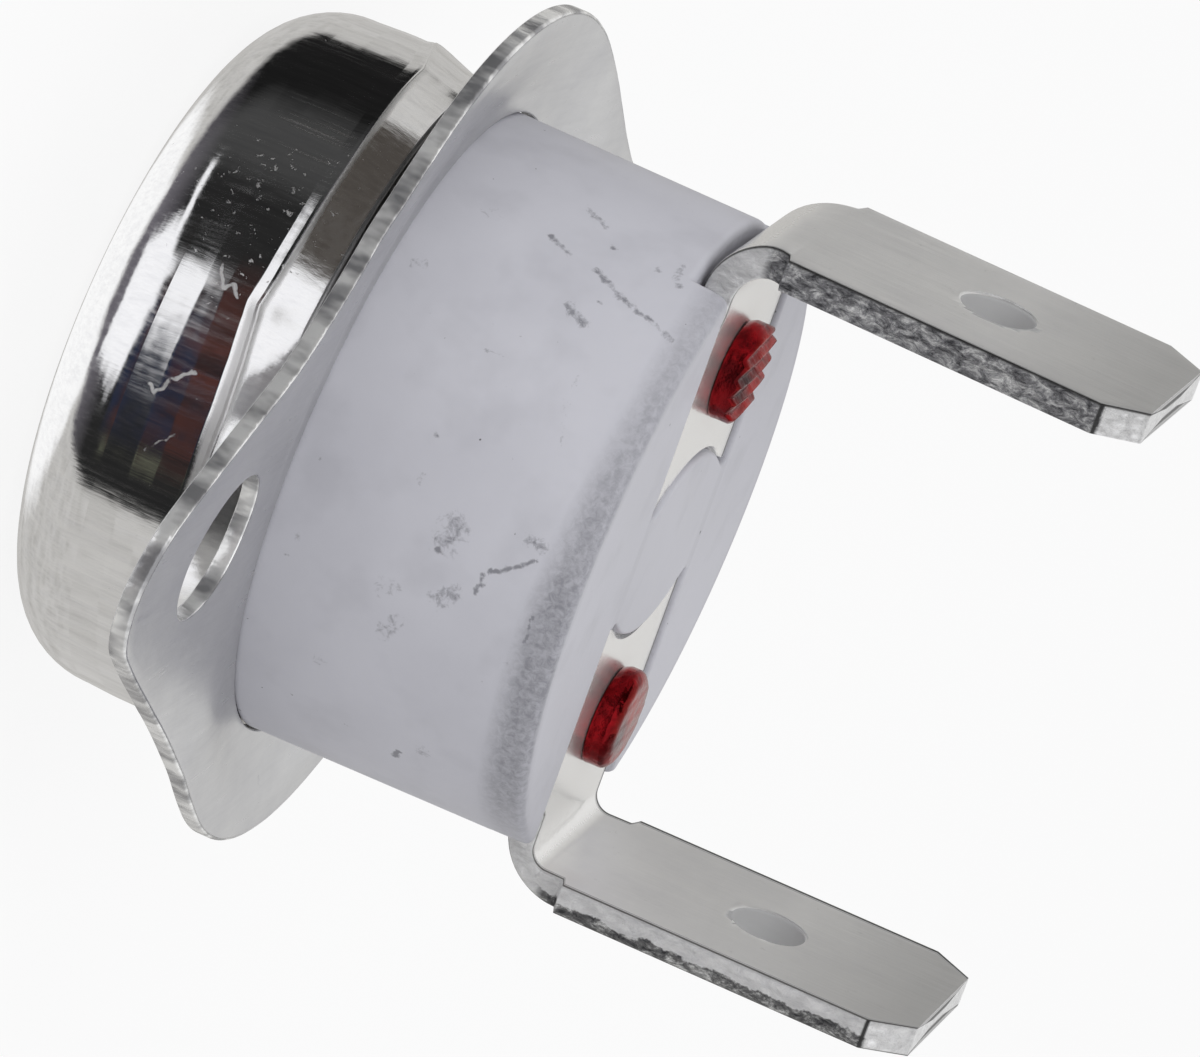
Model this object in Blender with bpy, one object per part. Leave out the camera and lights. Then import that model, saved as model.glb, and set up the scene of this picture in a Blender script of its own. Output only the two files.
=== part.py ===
"""Snap-action temperature switch: ceramic housing, aluminium sensing cap, loose flange and two tabs.

Units are metres and +Z is up. The switch stands on its flat sensing face at the origin, with the tabs
up. The terminals lie on the X axis and the ears of the mounting flange on the Y axis.
"""
import math

import bmesh
import bpy
from mathutils import Matrix, Vector

MM = 0.001
FULL = 2 * math.pi

# Clearances between pieces
FIT = 0.1 * MM              # between pieces that touch or clamp each other
FLANGE_PLAY = 0.25 * MM     # flange's hole to the housing, on the radius
FLANGE_REST = 0.15 * MM     # flange's lower face to the cap's rolled rim
CHAMBER_PLAY = 0.15 * MM    # fixed plate to the chamber's wall

# Sensing cap
CAP_WALL = 0.4 * MM
CAP_CORNER = 2.2 * MM       # outer radius between sensing face and wall
RIDGE_RISE = 0.75 * MM      # ridge above the housing's foot
ROLL_RISE = 1.55 * MM       # height of the rolled shoulder

# Snap disc and its guide
DISC_LIFT = 0.85 * MM       # disc's rim above the cap's inner floor
DISC_INSET = 1.6 * MM       # disc's rim inside the cap's wall
DISC_T = 0.2 * MM
DISC_DISH = 0.35 * MM       # how much lower the centre lies
GUIDE_T = 0.9 * MM
GUIDE_LIP = 0.25 * MM       # how far the guide's skirt reaches down round the disc
BOSS_WALL = 0.8 * MM
BOSS_RISE = 1.6 * MM
PIN_R = 1.1 * MM

# Ceramic housing
BODY_R = 8.3 * MM
BODY_TOP = 14.45 * MM
FOOT_STEP = 0.4 * MM        # foot that the cap holds, beyond the barrel
FOOT_H = 1.5 * MM
FOOT_CHAMFER = 0.5 * MM
GROOVE = 0.25 * MM          # depth of the groove that the rolled rim lies in
RIM_CHAMFER = 0.22 * MM
CHAMBER_WALL = 1.3 * MM
ROOF_T = 3.7 * MM           # from the chamber's roof to the pockets' floor
POCKET_DEPTH = 1.0 * MM     # pockets for the terminal strips
BARRIER_HALF = 2.45 * MM    # half thickness of the barrier between the pockets, at its middle
BARRIER_ARC = 4.8 * MM      # radius of the barrier's rounded sides
MOUTH_R = 0.5 * MM          # rounding where a pocket opens at the rim

# Mounting flange
FLANGE_T = 0.45 * MM
RING_BAND = 2.85 * MM       # ring's width round its hole
EAR_R = 2.4 * MM
EAR_HOLE_Y = 13.2 * MM
EAR_HOLE_R = 2.07 * MM
EAR_MARGIN = 2.8 * MM       # centre of the ear's round end beyond the hole's centre
WAIST = 0.25 * MM           # how far the flange's straight sides curve in

# Terminals: strip, bend, neck and tab
TAB_T = 0.8 * MM
TAB_W = 6.3 * MM
STRIP_W = 6.2 * MM
NECK_W = 5.5 * MM
TAB_OUT = 0.8 * MM          # tab's outer face beyond the housing
BEND_R = 1.8 * MM           # outer radius of the bend
NECK_START = 0.55 * MM      # neck starts this far inside the bend
SHOULDER_RISE = 0.2 * MM    # tab's shoulder above the end of the bend
TAB_RISE = 10.6 * MM        # tab's top above the housing
TIP_W = 4.48 * MM
TIP_CHAMFER = 1.1 * MM
STEP_RUN = 0.12 * MM        # length of a shoulder's slope
TAB_HOLE_R = 0.95 * MM
TAB_HOLE_DROP = 4.7 * MM    # hole's centre below the tab's top

# Rivets
RIVET_INSET = 3.45 * MM      # rivet's axis inside the barrel's surface
HEAD_R = 1.3 * MM
HEAD_H = 0.65 * MM
SHANK_R = 0.9 * MM
TAIL_R = 1.25 * MM
TAIL_H = 0.6 * MM

# Contact arm, fixed plate and contacts
ARM_T = 0.2 * MM
ARM_W = 3.4 * MM
ARM_END = 1.4 * MM          # arm's riveted end reaches this far past the rivet
ARM_SLOPE_START = 1.5 * MM  # slope starts this far inside the rivet
ARM_SLOPE_RUN = 1.7 * MM
ARM_TIP = 1.0 * MM          # arm's tip past the contact's centre
CONTACT_R = 1.1 * MM
CONTACT_H = 0.6 * MM
PIN_CLEAR = 1.0 * MM        # fixed plate's tip to the push pin
PLATE_T = 0.3 * MM
PLATE_W = 3.0 * MM
PLATE_LIFT = 1.2 * MM       # fixed plate's lower leg above the guide's boss
PLATE_TIP = 1.3 * MM        # lower leg's tip past the contact's centre
PLATE_END = 1.4 * MM        # upper leg's tip past the rivet

# Radii and places that follow from the sizes above
FOOT_R = BODY_R + FOOT_STEP
CAP_BORE = FOOT_R + FIT
CAP_R = CAP_BORE + CAP_WALL
NECK_R = BODY_R - GROOVE
RIM_R = NECK_R + FIT + CAP_WALL
CHAMBER_R = BODY_R - CHAMBER_WALL
DISC_R = CAP_BORE - DISC_INSET
BOSS_R = PIN_R + FIT + BOSS_WALL
FLANGE_HOLE_R = BODY_R + FLANGE_PLAY
RING_R = FLANGE_HOLE_R + RING_BAND
EAR_Y = EAR_HOLE_Y + EAR_MARGIN
TAB_X = BODY_R + TAB_OUT
BEND_X = TAB_X - BEND_R
RIVET_X = BODY_R - RIVET_INSET
BORE_R = SHANK_R + FIT
CONTACT_X = PIN_R + PIN_CLEAR + PLATE_TIP

# Levels that follow, from the sensing face up
DISC_Z = CAP_WALL + DISC_LIFT
GUIDE_Z = DISC_Z + DISC_T + FIT
GUIDE_TOP = GUIDE_Z + GUIDE_T
BOSS_TOP = GUIDE_TOP + BOSS_RISE
BODY_Z = GUIDE_TOP + FIT
FOOT_TOP = BODY_Z + FOOT_H
RIDGE_Z = FOOT_TOP + RIDGE_RISE
RIM_TOP = RIDGE_Z + ROLL_RISE
FLANGE_Z = RIM_TOP + FLANGE_REST
POCKET_Z = BODY_TOP - POCKET_DEPTH
ROOF_Z = POCKET_Z - ROOF_T
STRIP_Z = POCKET_Z + FIT
SHOULDER_Z = STRIP_Z + BEND_R + SHOULDER_RISE
TAB_TOP = BODY_TOP + TAB_RISE
PLATE_TOP = ROOF_Z - FIT
LEG_TOP = BOSS_TOP + PLATE_LIFT
FIXED_Z = LEG_TOP + FIT
MOVING_Z = FIXED_Z + CONTACT_H + FIT
ARM_Z = MOVING_Z + CONTACT_H + FIT
PIN_Z = DISC_Z + DISC_T - DISC_DISH + FIT
PIN_TOP = ARM_Z - FIT


def clear_scene():
    """Removes every object of the open file."""
    for obj in list(bpy.data.objects):
        bpy.data.objects.remove(obj, do_unlink=True)


def material(name, colour, roughness, metallic):
    """Returns a Principled material of one colour."""
    mat = bpy.data.materials.new(name)
    mat.use_nodes = True
    shader = mat.node_tree.nodes["Principled BSDF"]
    shader.inputs["Base Color"].default_value = (*colour, 1.0)
    shader.inputs["Roughness"].default_value = roughness
    shader.inputs["Metallic"].default_value = metallic
    mat.diffuse_color = (*colour, 1.0)
    return mat


def finish(bm, name, mat, parent=None, at=(0, 0, 0)):
    """Turns the bmesh into an object whose origin lies at the point given in world space."""
    bmesh.ops.recalc_face_normals(bm, faces=bm.faces)
    bmesh.ops.translate(bm, verts=bm.verts, vec=-Vector(at))
    mesh = bpy.data.meshes.new(name)
    bm.to_mesh(mesh)
    bm.free()
    mesh.shade_smooth()
    mesh.set_sharp_from_angle(angle=math.radians(35))
    obj = bpy.data.objects.new(name, mesh)
    obj.location = at
    bpy.context.collection.objects.link(obj)
    if mat is not None:
        mesh.materials.append(mat)
    if parent is not None:
        obj.parent = parent
    return obj


def empty(name, parent=None):
    """Returns an empty at the origin, to parent pieces to."""
    obj = bpy.data.objects.new(name, None)
    obj.empty_display_size = 0.005
    bpy.context.collection.objects.link(obj)
    if parent is not None:
        obj.parent = parent
    return obj


def turned(profile, steps, centre=(0, 0)):
    """Spins a closed profile of (radius, height) points round a vertical axis."""
    bm = bmesh.new()
    verts = [bm.verts.new((centre[0] + r, centre[1], z)) for r, z in profile]
    count = len(verts)
    edges = []
    for i in range(count):
        a, b = verts[i], verts[(i + 1) % count]
        if max(profile[i][0], profile[(i + 1) % count][0]) > 0:
            edges.append(bm.edges.new((a, b)))
    bmesh.ops.spin(bm, geom=edges, cent=(*centre, 0), axis=(0, 0, 1), angle=FULL, steps=steps, use_merge=True)
    bmesh.ops.remove_doubles(bm, verts=bm.verts, dist=0.000001)
    return bm


def plate(outline, z0, z1):
    """Extrudes an outline of (x, y) points from one height to another."""
    bm = bmesh.new()
    face = bm.faces.new([bm.verts.new((x, y, z0)) for x, y in outline])
    grown = bmesh.ops.extrude_face_region(bm, geom=[face])
    tops = [v for v in grown["geom"] if isinstance(v, bmesh.types.BMVert)]
    bmesh.ops.translate(bm, verts=tops, vec=(0, 0, z1 - z0))
    return bm


def arc(cx, cy, radius, start, end, count):
    """Returns points along an arc, both ends included, with angles in radians."""
    turn = (end - start) / count
    return [(cx + radius * math.cos(start + turn * i), cy + radius * math.sin(start + turn * i))
            for i in range(count + 1)]


def cutter(bm, name, parent):
    """Returns a hidden cutter made from the bmesh."""
    obj = finish(bm, name, None, parent)
    obj.hide_render = True
    obj.display_type = "WIRE"
    return obj


def cut(obj, tool):
    """Subtracts the tool from the object."""
    mod = obj.modifiers.new("Cut " + tool.name, "BOOLEAN")
    mod.operation = "DIFFERENCE"
    mod.solver = "EXACT"
    mod.object = tool


def drill(centre, radius, z0, z1, steps=32):
    """Returns a vertical cylinder for a round hole."""
    bm = bmesh.new()
    place = Matrix.Translation((*centre, (z0 + z1) / 2))
    bmesh.ops.create_cone(bm, cap_ends=True, segments=steps, radius1=radius, radius2=radius,
                          depth=z1 - z0, matrix=place)
    return bm


def folded(stations, side):
    """Skins a folded strip. Each station is (outer point, inner point, half width) in the XZ plane."""
    bm = bmesh.new()
    loops = []
    for (x0, z0), (x1, z1), half in stations:
        corners = ((x0, -half, z0), (x0, half, z0), (x1, half, z1), (x1, -half, z1))
        loops.append([bm.verts.new((side * x, y, z)) for x, y, z in corners])
    for a, b in zip(loops, loops[1:]):
        for i in range(4):
            j = (i + 1) % 4
            bm.faces.new((a[i], a[j], b[j], b[i]))
    bm.faces.new(loops[0])
    bm.faces.new(list(reversed(loops[-1])))
    return bm


def cap_corner_radius(z, inset):
    """Returns the cap's radius at a height in its rounded corner, inset from the outer surface."""
    if z >= CAP_CORNER:
        return CAP_R - inset
    reach = CAP_CORNER - inset
    drop = min(CAP_CORNER - z, reach)
    return CAP_R - CAP_CORNER + math.sqrt(max(reach * reach - drop * drop, 0))


def cap_profile():
    """Cup with a rounded corner and a rim that is rolled in: outer surface up, inner surface down."""
    outer = arc(CAP_R - CAP_CORNER, CAP_CORNER, CAP_CORNER, -math.pi / 2, 0, 8)
    inner = arc(CAP_R - CAP_CORNER, CAP_CORNER, CAP_CORNER - CAP_WALL, 0, -math.pi / 2, 6)
    draw = CAP_R - RIM_R
    shoulder = [(CAP_R - draw * part ** 1.2, RIDGE_Z + ROLL_RISE * part) for part in (0, 0.15, 0.4, 0.65, 0.9)]
    lining = [(r - CAP_WALL, z) for r, z in reversed(shoulder)]
    rim = [(RIM_R, RIM_TOP), (RIM_R - CAP_WALL, RIM_TOP)]
    return [(0, 0), *outer, *shoulder, *rim, *lining, *inner, (0, CAP_WALL)]


def make_cap(parent):
    """Drawn aluminium cup. Its flat underside senses the temperature."""
    mat = material("polished_aluminium", (0.80, 0.81, 0.83), 0.18, 1.0)
    return finish(turned(cap_profile(), 80), "sensing_cap", mat, parent)


def disc_level(r):
    """Height of the snap disc's underside at a radius: a shallow dish, lowest at the centre."""
    return DISC_Z - DISC_DISH * (1 - (r / DISC_R) ** 2)


def make_disc(parent):
    """Dished bimetal disc that snaps over when it is warm."""
    mat = material("bimetal_strip", (0.62, 0.55, 0.45), 0.35, 1.0)
    radii = [DISC_R * part for part in (0, 0.35, 0.7, 1.0)]
    lower = [(r, disc_level(r)) for r in radii]
    upper = [(r, disc_level(r) + DISC_T) for r in reversed(radii)]
    return finish(turned(lower + upper, 48), "bimetal_disc", mat, parent, (0, 0, DISC_Z))


def make_guide(parent):
    """Moulded plate that keeps the disc in place and guides the push pin in its boss."""
    mat = material("moulded_guide", (0.25, 0.16, 0.10), 0.6, 0.0)
    skirt_z = GUIDE_Z - GUIDE_LIP
    outer = min(cap_corner_radius(skirt_z, CAP_WALL) - FIT, FOOT_R)
    lip = DISC_R + 2 * FIT
    bore = PIN_R + FIT
    profile = [(lip, skirt_z), (outer, skirt_z), (outer, GUIDE_TOP), (BOSS_R, GUIDE_TOP), (BOSS_R, BOSS_TOP),
               (bore, BOSS_TOP), (bore, GUIDE_Z), (lip, GUIDE_Z)]
    return finish(turned(profile, 48), "disc_guide", mat, parent)


def make_pin(parent):
    """Push pin between the disc and the contact arm, with rounded ends."""
    mat = material("pin_ceramic", (0.85, 0.84, 0.80), 0.5, 0.0)
    edge = 0.25 * PIN_R
    profile = [(0, PIN_Z), (PIN_R - edge, PIN_Z), (PIN_R, PIN_Z + edge), (PIN_R, PIN_TOP - edge),
               (PIN_R - edge, PIN_TOP), (0, PIN_TOP)]
    return finish(turned(profile, 24), "push_pin", mat, parent, (0, 0, PIN_Z))


def barrier_x(y, grow=0.0):
    """Distance of the barrier's rounded side from the middle, at a distance y along it."""
    radius = BARRIER_ARC + grow
    reach = min(abs(y), 0.98 * radius)
    return BARRIER_HALF - BARRIER_ARC + math.sqrt(radius * radius - reach * reach)


def pocket_outline(side):
    """Plan of one terminal pocket: rounded barrier side, straight walls and an open mouth at the rim."""
    half = STRIP_W / 2 + FIT
    steps = 12
    inner = [(barrier_x(half - 2 * half * i / steps), half - 2 * half * i / steps) for i in range(steps + 1)]
    mouth = math.sqrt(BODY_R * BODY_R - half * half)
    flare = [(mouth - MOUTH_R + MOUTH_R * math.sin(a), half + MOUTH_R * (1 - math.cos(a)))
             for a in (0, math.pi / 6, math.pi / 3, math.pi / 2)]
    far = BODY_R + MOUTH_R + FIT
    last = flare[-1][1]
    lower = [(x, -y) for x, y in flare]
    upper = list(reversed(flare))
    return [(side * x, y) for x, y in [*inner, *lower, (far, -last), (far, last), *upper]]


def make_body(parent):
    """Ceramic housing: foot under the rolled rim, groove, plain barrel, chamber below, pockets on top."""
    mat = material("glazed_ceramic", (0.70, 0.70, 0.76), 0.45, 0.0)
    profile = [(CHAMBER_R, BODY_Z), (FOOT_R, BODY_Z), (FOOT_R, FOOT_TOP), (NECK_R, FOOT_TOP + FOOT_CHAMFER),
               (NECK_R, RIM_TOP + FIT), (BODY_R, RIM_TOP + FIT), (BODY_R, BODY_TOP - RIM_CHAMFER),
               (BODY_R - 0.3 * RIM_CHAMFER, BODY_TOP - 0.3 * RIM_CHAMFER), (BODY_R - RIM_CHAMFER, BODY_TOP),
               (0, BODY_TOP), (0, ROOF_Z), (CHAMBER_R, ROOF_Z)]
    body = finish(turned(profile, 80), "ceramic_body", mat, parent)
    for side, label in ((-1, "left"), (1, "right")):
        pocket = plate(pocket_outline(side), POCKET_Z, BODY_TOP + MM)
        cut(body, cutter(pocket, "cut_pocket_" + label, parent))
        bore = drill((side * RIVET_X, 0), BORE_R, ROOF_Z - MM, BODY_TOP + MM, 24)
        cut(body, cutter(bore, "cut_bore_" + label, parent))
    return body


def flange_outline():
    """Round ring with two ears: arcs joined by sides that curve in slightly between the tangent points."""
    lean = math.acos((RING_R - EAR_R) / EAR_Y)
    ring = arc(0, 0, RING_R, -math.pi / 2 + lean, math.pi / 2 - lean, 20)
    ear = arc(0, EAR_Y, EAR_R, math.pi / 2 - lean, math.pi / 2 + lean, 10)
    a, b = Vector(ring[-1]), Vector(ear[0])
    inward = Vector((-math.cos(math.pi / 2 - lean), -math.sin(math.pi / 2 - lean)))
    side = []
    for i in range(1, 8):
        part = i / 8
        point = a.lerp(b, part) + inward * (WAIST * math.sin(math.pi * part) ** 2)
        side.append((point.x, point.y))
    upper = [*side, *ear, *[(-x, y) for x, y in reversed(side)]]
    right = ring
    left = [(-x, -y) for x, y in ring]
    lower = [(-x, -y) for x, y in upper]
    return [*right, *upper, *left, *lower]


def make_flange(parent):
    """Loose stamped plate with a screw hole in each ear. It turns freely round the housing."""
    mat = material("flange_aluminium", (0.66, 0.66, 0.65), 0.35, 1.0)
    top = FLANGE_Z + FLANGE_T
    flange = finish(plate(flange_outline(), FLANGE_Z, top), "mounting_flange", mat, parent, (0, 0, FLANGE_Z))
    centre_hole = drill((0, 0), FLANGE_HOLE_R, FLANGE_Z - MM, top + MM, 80)
    cut(flange, cutter(centre_hole, "cut_flange_centre", parent))
    for side, label in ((-1, "near"), (1, "far")):
        hole = drill((0, side * EAR_HOLE_Y), EAR_HOLE_R, FLANGE_Z - MM, top + MM, 32)
        cut(flange, cutter(hole, "cut_ear_" + label, parent))
    return flange


def terminal_stations():
    """Sections along a terminal, from the strip's inner end round the bend to the tab's tip."""
    low, high = STRIP_Z, STRIP_Z + TAB_T
    start = barrier_x(STRIP_W / 2) - 4 * FIT
    strip, neck, tab, tip = STRIP_W / 2, NECK_W / 2, TAB_W / 2, TIP_W / 2
    neck_x = BEND_X - NECK_START
    stations = [((start, low), (start, high), strip), ((neck_x - STEP_RUN, low), (neck_x - STEP_RUN, high), strip),
                ((neck_x, low), (neck_x, high), neck)]
    steps = 8
    for i in range(steps + 1):
        a = math.pi / 2 * i / steps
        outer = (BEND_X + BEND_R * math.sin(a), low + BEND_R * (1 - math.cos(a)))
        inner_r = BEND_R - TAB_T
        inner = (BEND_X + inner_r * math.sin(a), low + BEND_R - inner_r * math.cos(a))
        stations.append((outer, inner, neck))
    back = TAB_X - TAB_T
    for z, half in ((SHOULDER_Z - STEP_RUN, neck), (SHOULDER_Z, tab), (TAB_TOP - TIP_CHAMFER, tab), (TAB_TOP, tip)):
        stations.append(((TAB_X, z), (back, z), half))
    return stations


def make_terminal(side, label, mat, parent):
    """Tinned strip in the housing's pocket, bent up at the rim into a push-on tab with a locking hole."""
    obj = finish(folded(terminal_stations(), side), "terminal_" + label, mat, parent)
    hollow = drill((side * (BARRIER_HALF - BARRIER_ARC), 0), BARRIER_ARC + FIT, STRIP_Z - MM, STRIP_Z + TAB_T + MM, 72)
    cut(obj, cutter(hollow, "cut_end_" + label, parent))
    bore = drill((side * RIVET_X, 0), BORE_R, STRIP_Z - MM, STRIP_Z + TAB_T + MM, 24)
    cut(obj, cutter(bore, "cut_rivet_" + label, parent))
    eye = drill((0, 0), TAB_HOLE_R, -2 * MM, 2 * MM, 28)
    lay = Matrix.Translation((side * TAB_X, 0, TAB_TOP - TAB_HOLE_DROP)) @ Matrix.Rotation(math.pi / 2, 4, "Y")
    bmesh.ops.transform(eye, matrix=lay, verts=eye.verts)
    cut(obj, cutter(eye, "cut_eye_" + label, parent))
    return obj


def make_rivet(side, label, grip, mat, parent):
    """Rivet from the terminal strip down through the housing to the spring or plate of the given grip."""
    head_z = STRIP_Z + TAB_T + FIT
    tail_z = ROOF_Z - FIT - grip - FIT
    profile = [(0, tail_z - TAIL_H), (TAIL_R - 0.3 * TAIL_H, tail_z - TAIL_H), (TAIL_R, tail_z - 0.7 * TAIL_H),
               (TAIL_R, tail_z), (SHANK_R, tail_z), (SHANK_R, head_z), (HEAD_R, head_z),
               (HEAD_R, head_z + 0.75 * HEAD_H), (HEAD_R - 0.2 * HEAD_H, head_z + HEAD_H), (0, head_z + HEAD_H)]
    bm = turned(profile, 28, (side * RIVET_X, 0))
    return finish(bm, "rivet_" + label, mat, parent, (side * RIVET_X, 0, head_z))


def make_arm(parent):
    """Spring leaf: riveted end under the roof, slope down, then a flat reach over the pin to the contact."""
    mat = material("spring_bronze", (0.75, 0.55, 0.32), 0.3, 1.0)
    top = ROOF_Z - FIT
    slope_x = RIVET_X - ARM_SLOPE_START
    half = ARM_W / 2
    points = [(RIVET_X + ARM_END, top), (slope_x, top), (slope_x - ARM_SLOPE_RUN, ARM_Z + ARM_T),
              (-CONTACT_X - ARM_TIP, ARM_Z + ARM_T)]
    stations = [((x, z - ARM_T), (x, z), half) for x, z in points]
    arm = finish(folded(stations, 1), "contact_arm", mat, parent)
    cut(arm, cutter(drill((RIVET_X, 0), BORE_R, ROOF_Z - MM, ROOF_Z + MM, 24), "cut_arm", parent))
    return arm


def make_fixed_plate(parent):
    """Plate folded to a C: upper leg under the roof, wall along the chamber, lower leg under the contact."""
    mat = material("plate_brass", (0.78, 0.66, 0.38), 0.3, 1.0)
    half = PLATE_W / 2
    wall = math.sqrt(CHAMBER_R * CHAMBER_R - half * half) - CHAMBER_PLAY
    stations = [((RIVET_X - PLATE_END, PLATE_TOP), (RIVET_X - PLATE_END, PLATE_TOP - PLATE_T), half),
                ((wall, PLATE_TOP), (wall - PLATE_T, PLATE_TOP - PLATE_T), half),
                ((wall, LEG_TOP - PLATE_T), (wall - PLATE_T, LEG_TOP), half),
                ((CONTACT_X - PLATE_TIP, LEG_TOP - PLATE_T), (CONTACT_X - PLATE_TIP, LEG_TOP), half)]
    obj = finish(folded(stations, -1), "fixed_contact_plate", mat, parent)
    cut(obj, cutter(drill((-RIVET_X, 0), BORE_R, ROOF_Z - MM, ROOF_Z + MM, 24), "cut_plate", parent))
    return obj


def make_contact(name, z, mat, parent):
    """Contact button with slightly rounded edges."""
    edge = 0.15 * CONTACT_H
    top = z + CONTACT_H
    profile = [(0, z), (CONTACT_R - edge, z), (CONTACT_R, z + edge), (CONTACT_R, top - edge),
               (CONTACT_R - edge, top), (0, top)]
    return finish(turned(profile, 24, (-CONTACT_X, 0)), name, mat, parent, (-CONTACT_X, 0, z))


def main():
    """Builds the switch."""
    clear_scene()
    root = empty("switch_frame")
    swivel = empty("flange_axis", root)
    lift = empty("pin_axis", root)
    make_cap(root)
    make_disc(root)
    make_guide(root)
    make_pin(lift)
    make_body(root)
    make_flange(swivel)
    make_arm(root)
    silver = material("contact_silver", (0.85, 0.85, 0.84), 0.3, 1.0)
    make_contact("moving_contact", MOVING_Z, silver, root)
    make_contact("fixed_contact", FIXED_Z, silver, root)
    make_fixed_plate(root)
    tinned = material("tinned_strip", (0.70, 0.69, 0.65), 0.4, 1.0)
    lacquer = material("red_lacquer", (0.55, 0.03, 0.02), 0.25, 0.3)
    make_terminal(-1, "left", tinned, root)
    make_terminal(1, "right", tinned, root)
    make_rivet(-1, "left", PLATE_T, lacquer, root)
    make_rivet(1, "right", ARM_T, lacquer, root)


main()
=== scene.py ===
"""Snap-action temperature switch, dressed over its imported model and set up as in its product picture."""
import math

import bmesh
import bpy
import numpy as np
from mathutils import Matrix


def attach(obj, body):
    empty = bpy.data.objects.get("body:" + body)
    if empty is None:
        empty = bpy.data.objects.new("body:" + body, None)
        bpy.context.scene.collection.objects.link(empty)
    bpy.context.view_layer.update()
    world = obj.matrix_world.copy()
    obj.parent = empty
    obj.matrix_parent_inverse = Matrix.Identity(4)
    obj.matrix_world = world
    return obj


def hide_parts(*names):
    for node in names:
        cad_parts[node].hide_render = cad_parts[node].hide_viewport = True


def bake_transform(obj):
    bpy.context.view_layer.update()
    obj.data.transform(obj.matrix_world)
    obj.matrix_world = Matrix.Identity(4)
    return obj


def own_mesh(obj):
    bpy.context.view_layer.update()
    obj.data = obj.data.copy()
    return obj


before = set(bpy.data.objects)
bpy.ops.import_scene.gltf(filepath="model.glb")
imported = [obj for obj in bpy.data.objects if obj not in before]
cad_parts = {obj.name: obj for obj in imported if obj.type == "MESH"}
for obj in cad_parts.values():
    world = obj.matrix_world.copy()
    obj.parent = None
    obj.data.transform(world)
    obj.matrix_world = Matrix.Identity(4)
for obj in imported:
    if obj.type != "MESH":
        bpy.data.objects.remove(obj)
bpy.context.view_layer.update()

# Sensing cap
# A shallow cup of thin bright aluminium, drawn in a press. Its flat face touches what is measured, and its
# rim is rolled in over the foot of the housing, which leaves a sharp wavy ridge and a slightly bulged wall.
MM = 0.001
CAP_R = 9.2
CAP_WALL = 0.4
CAP_CORNER = 2.2
RIDGE_Z = 4.8
ROLL_TOP = 6.15
ROLL_R = 8.9
FRONT_ANGLE = -109.3
RIDGE_TURNS = (-180, -130, -102, -88, -81, -75, -65, -52, -43, -35, -22, -13, -10, -8, -6, 1, 9, 20, 40, 90,
               180)
RIDGE_HEIGHTS = (4.78, 4.50, 4.00, 3.90, 4.11, 4.36, 4.72, 4.77, 4.81, 4.83, 4.79, 4.71, 4.66, 4.60, 4.68,
                 4.84, 4.93, 4.92, 4.84, 4.78, 4.78)


def rounded(corners, radii, steps=6):
    """Rounds the corners of a line of points. Each arc starts and ends at radius / tan(half angle) from its
    corner and is a rational curve of degree two with weight sin(half angle), which is a true circle."""
    points = np.asarray(corners, float)
    back = np.roll(points, 1, axis=0) - points
    ahead = np.roll(points, -1, axis=0) - points
    back = back / np.linalg.norm(back, axis=1)[:, None]
    ahead = ahead / np.linalg.norm(ahead, axis=1)[:, None]
    half = 0.5 * np.arccos(np.clip((back * ahead).sum(1), -1, 1))
    cut = (np.asarray(radii, float) / np.tan(half))[:, None]
    t = np.linspace(0, 1, steps + 1)[None, :, None]
    weight = 2 * t * (1 - t) * np.sin(half)[:, None, None]
    start = (points + back * cut)[:, None, :]
    end = (points + ahead * cut)[:, None, :]
    arcs = (1 - t) ** 2 * start + weight * points[:, None, :] + t ** 2 * end
    arcs = arcs / ((1 - t) ** 2 + weight + t ** 2)
    return arcs.reshape(-1, points.shape[1])


def evenly(line, step):
    """Walks along a line of points and returns points at equal distances of about one step."""
    run = np.concatenate([[0], np.cumsum(np.linalg.norm(np.diff(line, axis=0), axis=1))])
    at = np.linspace(0, run[-1], max(int(run[-1] / step), 2) + 1)
    return np.stack([np.interp(at, run, line[:, k]) for k in range(line.shape[1])], -1)


def filled(line, step):
    """Keeps every point of a line, and adds equally spaced ones where two are further apart than a step."""
    gaps = np.linalg.norm(np.diff(line, axis=0), axis=1)
    counts = np.maximum(np.ceil(gaps / step), 1).astype(int)
    at = np.concatenate([k + np.arange(n) / n for k, n in enumerate(counts)] + [[len(line) - 1.0]])
    return np.stack([np.interp(at, np.arange(len(line)), line[:, k]) for k in range(line.shape[1])], -1)


def turned(line, steps):
    """Grid of a line of (radius, height) turned round an upright axis: x = r cos a, y = r sin a, z =
    height."""
    a = np.linspace(0, 2 * np.pi, steps + 1)
    r = line[:, :1]
    z = line[:, 1:] + 0 * a
    return np.stack([r * np.cos(a), r * np.sin(a), z], -1)


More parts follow.
